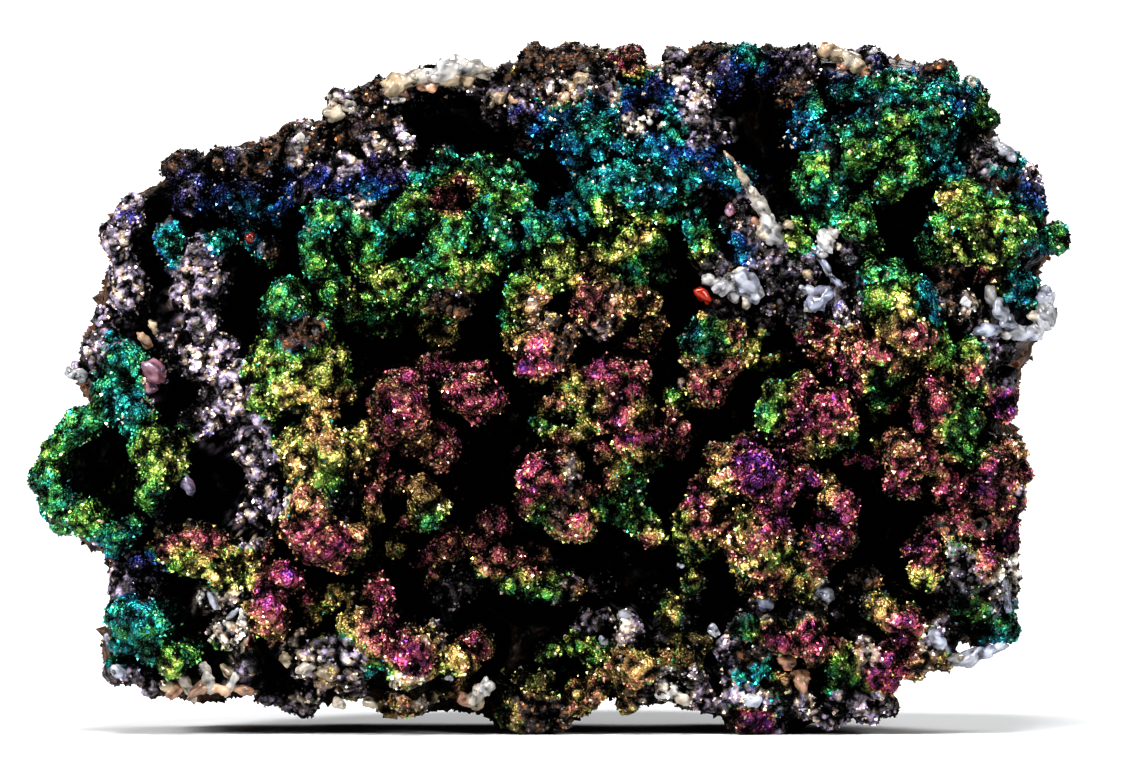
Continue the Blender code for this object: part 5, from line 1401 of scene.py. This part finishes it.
# %% The crystals
# For each crystal: across, down, reach, length, radius, turn in the face and tint, lengths in millimetres
QUARTZ = {
    "quartz_vein": """
        731 163 21.2 2.2 0.4 55 0.5  739 174 21.3 2.2 0.42 50 0.55  747 186 21.3 2.4 0.45 58 0.6
        755 198 21.4 2.4 0.5 55 0.62  763 211 21.5 2.2 0.6 62 0.65  768 224 21.7 1.8 0.8 80 0.7
        774 234 21.7 1.6 0.75 95 0.72  763 233 21.5 1.4 0.6 20 0.55  756 223 20.8 1.2 0.45 10 0.3
        788 226 20.6 1.2 0.45 10 0.5""",
    "quartz_white_cluster": """
        711 280 21.2 1.6 0.6 15 0.7  722 288 21.6 1.8 0.8 -30 0.75  733 281 21.8 1.6 0.75 60 0.72
        745 284 22.4 2.4 1 80 0.8  753 293 22 1.8 0.8 40 0.78  728 272 20.8 1.4 0.45 10 0.6
        741 270 20.9 1.2 0.45 -20 0.65  747 302 21.2 1.4 0.6 75 0.6  733 297 21 1.3 0.55 0 0.72
        704 296 21.6 1.5 0.55 50 0  716 301 20.9 1.1 0.5 30 0.15""",
    "quartz_tooth": """
        819 300 21.9 2.4 1.05 -35 0.85  807 291 21 1.5 0.65 40 0.8  812 308 20.8 1.2 0.5 0 0.7
        828 272 20.4 2.6 0.35 62 0.85  838 284 20.4 1.8 0.3 50 0.85  806 274 20.6 1.2 0.55 20 0.5""",
    "quartz_knob": """
        826 241 21 2.2 0.95 80 0.72  833 232 21 1.4 0.65 30 0.7  821 250 20.6 1.2 0.6 10 0.75
        838 246 20.2 1 0.5 60 0.6""",
    "quartz_top_slab": """
        397 84 18.6 2.2 0.85 -12 0.5  409 80 18.8 2.6 0.95 -10 0.55  421 77 18.9 2.6 0.9 -12 0.62
        433 74 18.9 2.4 0.95 -5 0.68  445 71 18.9 2.8 1 -8 0.7  458 69 18.8 2.6 0.95 0 0.72
        470 68 18.6 2.4 0.95 5 0.66  481 71 18.4 2 0.85 20 0.6  427 86 18.4 1.8 0.6 10 0.35
        451 80 18.6 2 0.6 -5 0.5  468 79 18.4 1.6 0.6 10 0.45  403 92 18.2 1.6 0.55 0 0.2""",
    "quartz_cream_patch": """
        829 51 18 1.8 0.8 25 0.45  838 55 18.2 2 0.9 30 0.5  847 59 18.2 2.2 0.95 30 0.55
        856 64 18 2 0.9 35 0.5  863 70 17.8 1.4 0.65 40 0.35  842 66 17.8 1.4 0.55 10 0.3""",
    "quartz_right_edge": """
        992 299 18.8 1.8 0.75 80 0.72  1000 309 18.9 2.2 0.95 65 0.78  1007 321 18.7 2 0.9 60 0.8
        1002 332 18.2 1.6 0.75 20 0.72  1018 331 18 2 0.75 5 0.75  1030 334 17.8 2 0.7 0 0.8
        1042 326 17.8 1.8 0.8 -60 0.78  1048 313 17.8 2.2 0.95 -85 0.75  1048 299 17.8 2 0.9 85 0.8
        1038 318 17.6 1.6 0.6 30 0.6""",
    "quartz_sliver": """
        962 659 17.6 2.6 0.7 -10 0.72  974 657 17.8 2.6 0.75 -16 0.8  986 654 17.6 2.4 0.65 -22 0.85
        997 650 17.2 2.2 0.55 -32 0.8""",
    "quartz_left_foot": """
        166 687 17.8 1.8 0.6 35 0.5  176 691 17.8 2 0.65 -40 0.36  187 686 18.2 2.2 0.6 55 0.6
        198 689 18.6 2.2 0.7 -25 0.38  209 682 18.6 2.4 0.65 65 0.66  220 690 18.6 2 0.6 10 0.4
        231 683 18.4 2.4 0.6 -60 0.68  241 690 18 1.8 0.6 20 0.36  205 671 18.4 1.4 0.6 60 0.62
        228 672 18.2 1.4 0.6 40 0.5""",
    "quartz_foot": """
        466 699 18.8 1.6 0.75 20 0.32  476 694 19.2 1.8 0.8 -45 0.62  484 688 19.4 1.6 0.75 -55 0.7
        474 703 18.4 1.4 0.55 0 0.5""",
    "quartz_specks": """
        152 372 19.4 2.6 1.1 75 0.97  148 388 19 1.8 0.8 30 0.95  153 326 18.6 1.6 0.6 60 0.5
        144 340 18.6 1.6 0.6 60 0.4  98 524 18.2 1.4 0.55 20 0.45  250 238 21 1 0.45 20 0.02
        730 209 20.8 1.4 0.7 60 0.96  645 119 20.2 1.2 0.55 0 0.7  449 677 19.4 0.9 0.35 20 0.75
        213 600 20 1.8 0.35 70 0.8  233 613 20 1.6 0.3 -40 0.78  667 692 18.4 1.6 0.7 0 0.68
        683 700 18 1.6 0.6 20 0.6  350 106 17.6 1.4 0.65 20 0.6  334 113 17.2 1.8 0.8 -20 0.55
        398 99 18 1.2 0.55 10 0.7  300 137 17.4 1.2 0.5 40 0.68  875 51 16.6 1 0.45 0 0.72
        972 81 18 1.2 0.5 60 0.62  788 662 19 2 0.75 40 0.3  801 678 18.8 1.8 0.75 45 0.36
        782 650 18.8 1.4 0.55 10 0.45  306 668 19.4 1.6 0.7 0 0.6  326 673 19.6 1.6 0.7 20 0.5
        352 676 19.6 1.4 0.6 -20 0.66  287 660 19.2 1.4 0.6 50 0.5  966 303 20.4 1.2 0.55 30 0.72
        1006 152 19.8 1.8 0.6 30 0.78  996 144 19.6 1.2 0.5 80 0.75  986 331 19 1.6 0.6 10 0.82
        500 97 19 1.2 0.6 0 0.45  515 98 19.2 1.4 0.65 10 0.4  582 80 19.2 1.4 0.65 -10 0.5
        565 97 19.4 1.2 0.6 10 0.42  825 595 19 1.4 0.6 30 0.78  765 603 18.8 1.4 0.55 60 0.85
        1003 578 18.4 2.2 0.5 70 0.85  1008 600 17.8 2 0.5 80 0.85  937 640 19.6 1.6 0.55 60 0.82
        750 700 18.6 1.6 0.7 20 0.8  188 486 20 1.8 0.55 60 0.9  398 684 19.8 1.2 0.6 0 0.5
        372 703 18.4 1.4 0.6 10 0.55  340 704 18.2 1.2 0.55 20 0.6  118 672 17.6 1.4 0.6 40 0.8
        108 640 17.4 1.2 0.55 70 0.82  75 375 15.6 1.6 0.6 20 0.75  605 640 19.2 1 0.45 10 0.82
        628 616 19.2 1.2 0.5 30 0.8  714 632 18.6 1.2 0.5 50 0.8  680 566 18.6 1 0.4 20 0.8""",
}


# %% Worn lumps
SMALL_EACH = 12         # small crystals round each large one
LARGE = (8, 14)         # rows of points along a crystal, and points round it
SMALL = (3, 6)
WORN_KNOBS = (0.9, 61)  # size in millimetres and seed
WORN_PITS = (0.45, 62)


def lump_points(centres, axes, lengths, widths, grid, rng):
    """Milky crystals whose edges are eaten away: each is a tube along its axis. With t from 0 to pi, its
    radius goes as the square root of sin t and its height as cos t, and the noise eats into both."""
    count = len(centres)
    first = unit(np.cross(axes, unit(rng.normal(0, 1, (count, 3)))))
    rows, around = grid
    turn = np.arange(around) / around * 2 * math.pi
    six_sided = 1 / np.maximum(np.abs(np.cos((turn + math.pi / 6) % (math.pi / 3) - math.pi / 6)), 0.5)
    ring = six_sided[:, None] * rings_round(axes, first, turn)
    angle = np.linspace(0, math.pi, rows + 2)
    out = np.sqrt(np.sin(angle[1:-1]))[:, None, None] * widths[:, None, None, None] * ring[:, None]
    up = np.cos(angle)[:, None, None] * lengths[:, None, None, None] / 2 * axes[:, None, None]
    skin = (out + up[:, 1:-1]).reshape(count, -1, 3)
    shape = np.concatenate([up[:, 0], skin, up[:, -1]], 1)
    points = centres[:, None] + shape
    flat = points.reshape(-1, 3)
    eaten = 0.75 * (knobs(flat, *WORN_KNOBS) - 0.7) + 0.45 * (knobs(flat, *WORN_PITS) - 0.7)
    eaten = eaten + 0.4 * clouds(flat, 1.2, 63)
    return points + shape * eaten.reshape(points.shape[:2])[..., None]


# %% Large and small crystals
def quartz_piece(name, crystals, seed):
    """One quartz piece: its large crystals, and small ones strewn round each of them. A small one stays
    only where it touches the large one or has other growth round it."""
    rng = np.random.default_rng(seed)
    count = len(crystals)
    across, down, reach, lengths, widths, turns, tints = crystals.T
    centres = on_face(across, down, reach - widths)
    turn = np.radians(turns)
    axes = unit(np.stack([np.cos(turn), rng.uniform(-0.35, 0.35, count), -np.sin(turn)], -1))
    length = lengths * rng.uniform(0.9, 1.3, count)
    width = widths * rng.uniform(0.8, 1.05, count)
    near = np.repeat(np.arange(count), SMALL_EACH)
    strewn = unit(rng.normal(0, 1, (len(near), 3)) + [0, 0.5, -0.25])
    gap = rng.uniform(0.8, 3.0, len(near))
    small_centres = centres[near] + strewn * (widths[near] * gap)[:, None]
    rooted = (gap < 1.1) | (looked_up(crowding, small_centres) > 0.34)
    near, gap, small_centres = near[rooted], gap[rooted], small_centres[rooted]
    small_axes = unit(axes[near] + rng.normal(0, 0.8, (len(near), 3)))
    small_width = widths[near] * rng.uniform(0.14, 0.38, len(near))
    small_length = small_width * rng.uniform(2.0, 4.2, len(near))
    small_tint = tints[near] + rng.normal(0, 0.08, len(near))
    small_bright = rng.uniform(0.2, 1.0, len(near)) * np.exp((0.8 - gap) / 1.6)
    built = []
    for middle, axis, long, wide, hue, bright, grid in (
        (centres, axes, length, width, tints, rng.uniform(0.6, 1.05, count), LARGE),
        (small_centres, small_axes, small_length, small_width, small_tint, small_bright, SMALL),
    ):
        points = lump_points(middle, axis, long, wide, grid, rng)
        number, each = points.shape[:2]
        points = points.reshape(-1, 3)
        points[:, 2] = np.maximum(points[:, 2], 0.0)
        # Painted shade in the pits between the knobs of the eaten skin, lighter on the knobs' tops.
        pit_shade = 0.6 * knobs(points, *WORN_KNOBS) + 0.4 * knobs(points, *WORN_PITS)
        built.append((
            points, repeated(tube_triangles(*grid), each, number), squares(tube_map(*grid), number),
            np.repeat(hue, each) + 0.05 * clouds(points, 0.7, 64),
            np.repeat(bright, each) * np.clip(3.0 * pit_shade - 1.25, 0.05, 1.1),
        ))
    (points, faces, places, hues, lights), small = built
    marks = {
        "tint": np.clip(np.concatenate([hues, small[3]]), 0, 1), "light": np.concatenate([lights, small[4]]),
    }
    nodes = [name] if name != "quartz_specks" else []
    piece_name = name if name == "quartz_specks" else name + "_crystals"
    new_piece(
        piece_name, np.concatenate([points, small[0]]), np.concatenate([faces, small[1] + len(points)]),
        np.concatenate([places / 2, small[2] / 2 + 0.5]), marks, quartz_material, True, nodes,
    )


# %% [markdown]
# Quartz here is milky: light goes in a little way and comes out again. A slightly see-through white with a
# smooth skin is near enough at this size, and the noise makes each crystal cloudy.

# %% The finish of quartz
TINTS = [
    (0.00, "c23a1c"), (0.08, "8a3a24"), (0.15, "6a4a3a"), (0.32, "d8a488"), (0.50, "d8c4a4"),
    (0.70, "ece8e4"), (0.85, "c4cce4"), (0.92, "c0a8c8"), (0.97, "c890a0"),
]


def quartz_finish():
    """Milky quartz, tinted by each crystal's own mark."""
    made = bpy.data.materials.new("milky quartz")
    made.use_nodes = True
    tree = made.node_tree
    shader = tree.nodes["Principled BSDF"]
    place = tree.nodes.new("ShaderNodeTexCoord")
    cloud = tree.nodes.new("ShaderNodeTexNoise")
    cloud.inputs["Scale"].default_value = 900
    tree.links.new(place.outputs["Object"], cloud.inputs["Vector"])
    ramp = new_ramp(tree, TINTS)
    tree.links.new(mark_value(tree, "tint"), ramp.inputs["Fac"])
    cloudy = computed(tree, "ADD", computed(tree, "MULTIPLY", cloud.outputs["Fac"], 0.9), 0.15)
    # The light mark holds each crystal's brightness and the painted shade of its pits.
    strength = computed(tree, "MULTIPLY", cloudy, mark_value(tree, "light"))
    tree.links.new(scaled(tree, ramp.outputs["Color"], strength), shader.inputs["Base Color"])
    shader.inputs["Roughness"].default_value = 0.22
    shader.inputs["Transmission Weight"].default_value = 0.15
    shader.inputs["IOR"].default_value = 1.54
    return made


quartz_material = quartz_finish()
for number, (name, rows) in enumerate(QUARTZ.items()):
    quartz_piece(name, table(rows, 7), 60 + number)


# %% [markdown]
# ## Studio
# A pale table that fades into a white surrounding, one soft light on either side, one above and a weak one
# behind. The camera stands far off with a long lens, as one does for minerals, so that near and far
# columns keep their places.

# %% Table
TABLE_HALF = 0.9
FADE_FROM, FADE_TO = 0.16, 0.60     # the table goes over into the white surrounding between these radii


def new_table():
    """A square at z = 0, whose paper turns see-through with the distance from its middle."""
    mesh = bpy.data.meshes.new("table")
    sides = [(-1, -1), (1, -1), (1, 1), (-1, 1)]
    mesh.from_pydata([(TABLE_HALF * x, TABLE_HALF * y, 0) for x, y in sides], [], [(0, 1, 2, 3)])
    paper = bpy.data.materials.new("pale paper")
    paper.use_nodes = True
    tree = paper.node_tree
    shader = tree.nodes["Principled BSDF"]
    shader.inputs["Base Color"].default_value = (0.86, 0.87, 0.88, 1)
    shader.inputs["Roughness"].default_value = 0.8
    place = tree.nodes.new("ShaderNodeTexCoord")
    far = tree.nodes.new("ShaderNodeVectorMath")
    far.operation = "LENGTH"
    tree.links.new(place.outputs["Object"], far.inputs[0])
    fade = tree.nodes.new("ShaderNodeMapRange")
    fade.interpolation_type = "SMOOTHSTEP"
    for name, value in (("From Min", FADE_FROM), ("From Max", FADE_TO), ("To Min", 1.0), ("To Max", 0.0)):
        fade.inputs[name].default_value = value
    tree.links.new(far.outputs["Value"], fade.inputs["Value"])
    tree.links.new(fade.outputs["Result"], shader.inputs["Alpha"])
    mesh.materials.append(paper)
    table = placed("table", mesh)


new_table()


# %% [markdown]
# Lamps two or three times as wide as the specimen give soft shadows and small glints. The world is white
# where the camera looks past the specimen, and nearly dark as a light, so that the recesses stay black.

# %% Lights and world
def soft_light(name, place, width, height, watts):
    """A rectangular light at a place, turned to the middle of the face."""
    data = bpy.data.lights.new(name, "AREA")
    data.shape = "RECTANGLE"
    data.size = width
    data.size_y = height
    data.energy = watts
    lamp = placed(name, data)
    lamp.location = place
    lamp.rotation_euler = (MIDDLE_OF_FACE - Vector(place)).to_track_quat("-Z", "Y").to_euler()


MIDDLE_OF_FACE = Vector((0, 0, 0.035))
soft_light("left", (-0.50, -0.45, 0.35), 0.22, 0.25, 5.2)
soft_light("right", (0.45, -0.55, 0.30), 0.20, 0.25, 2.4)
soft_light("above", (-0.05, -0.35, 0.65), 0.25, 0.20, 4.2)
soft_light("behind", (0.15, 0.60, 0.45), 0.40, 0.30, 3.0)
world = bpy.context.scene.world or bpy.data.worlds.new("world")
bpy.context.scene.world = world
world.use_nodes = True
sky = world.node_tree
lit_by = sky.nodes["Background"]
lit_by.inputs["Color"].default_value = (0.95, 0.97, 1.0, 1)
lit_by.inputs["Strength"].default_value = 0.03
white = sky.nodes.new("ShaderNodeBackground")
white.inputs["Color"].default_value = (1, 1, 1, 1)
white.inputs["Strength"].default_value = 1.0
seen_by = sky.nodes.new("ShaderNodeLightPath")
either = sky.nodes.new("ShaderNodeMixShader")
sky.links.new(seen_by.outputs["Is Camera Ray"], either.inputs["Fac"])
sky.links.new(lit_by.outputs["Background"], either.inputs[1])
sky.links.new(white.outputs["Background"], either.inputs[2])
sky.links.new(either.outputs[0], sky.nodes["World Output"].inputs["Surface"])
view = bpy.context.scene.view_settings
view.view_transform = "Standard"
view.look = "High Contrast"


# %% [markdown]
# The lens is worked out from the drawing's width, so that at the plane of the heads one unit of the
# drawing is one pixel of the picture.

# %% Camera
PICTURE_WIDTH, PICTURE_HEIGHT = 1122, 768
CAMERA_AWAY = 0.9       # metres from the plane of the heads
HEADS_AT = -0.019
camera_data = bpy.data.cameras.new("camera")
camera_data.sensor_width = 36.0
camera_data.lens = 36.0 * CAMERA_AWAY / (PICTURE_WIDTH * UNIT * MM)
camera_data.clip_end = 10
camera = placed("camera", camera_data)
spot = on_face(PICTURE_WIDTH / 2, PICTURE_HEIGHT / 2, 0.0) * MM
camera.location = (spot[0], HEADS_AT - CAMERA_AWAY, spot[2])
camera.rotation_euler = (math.pi / 2, 0, 0)
bpy.context.scene.camera = camera
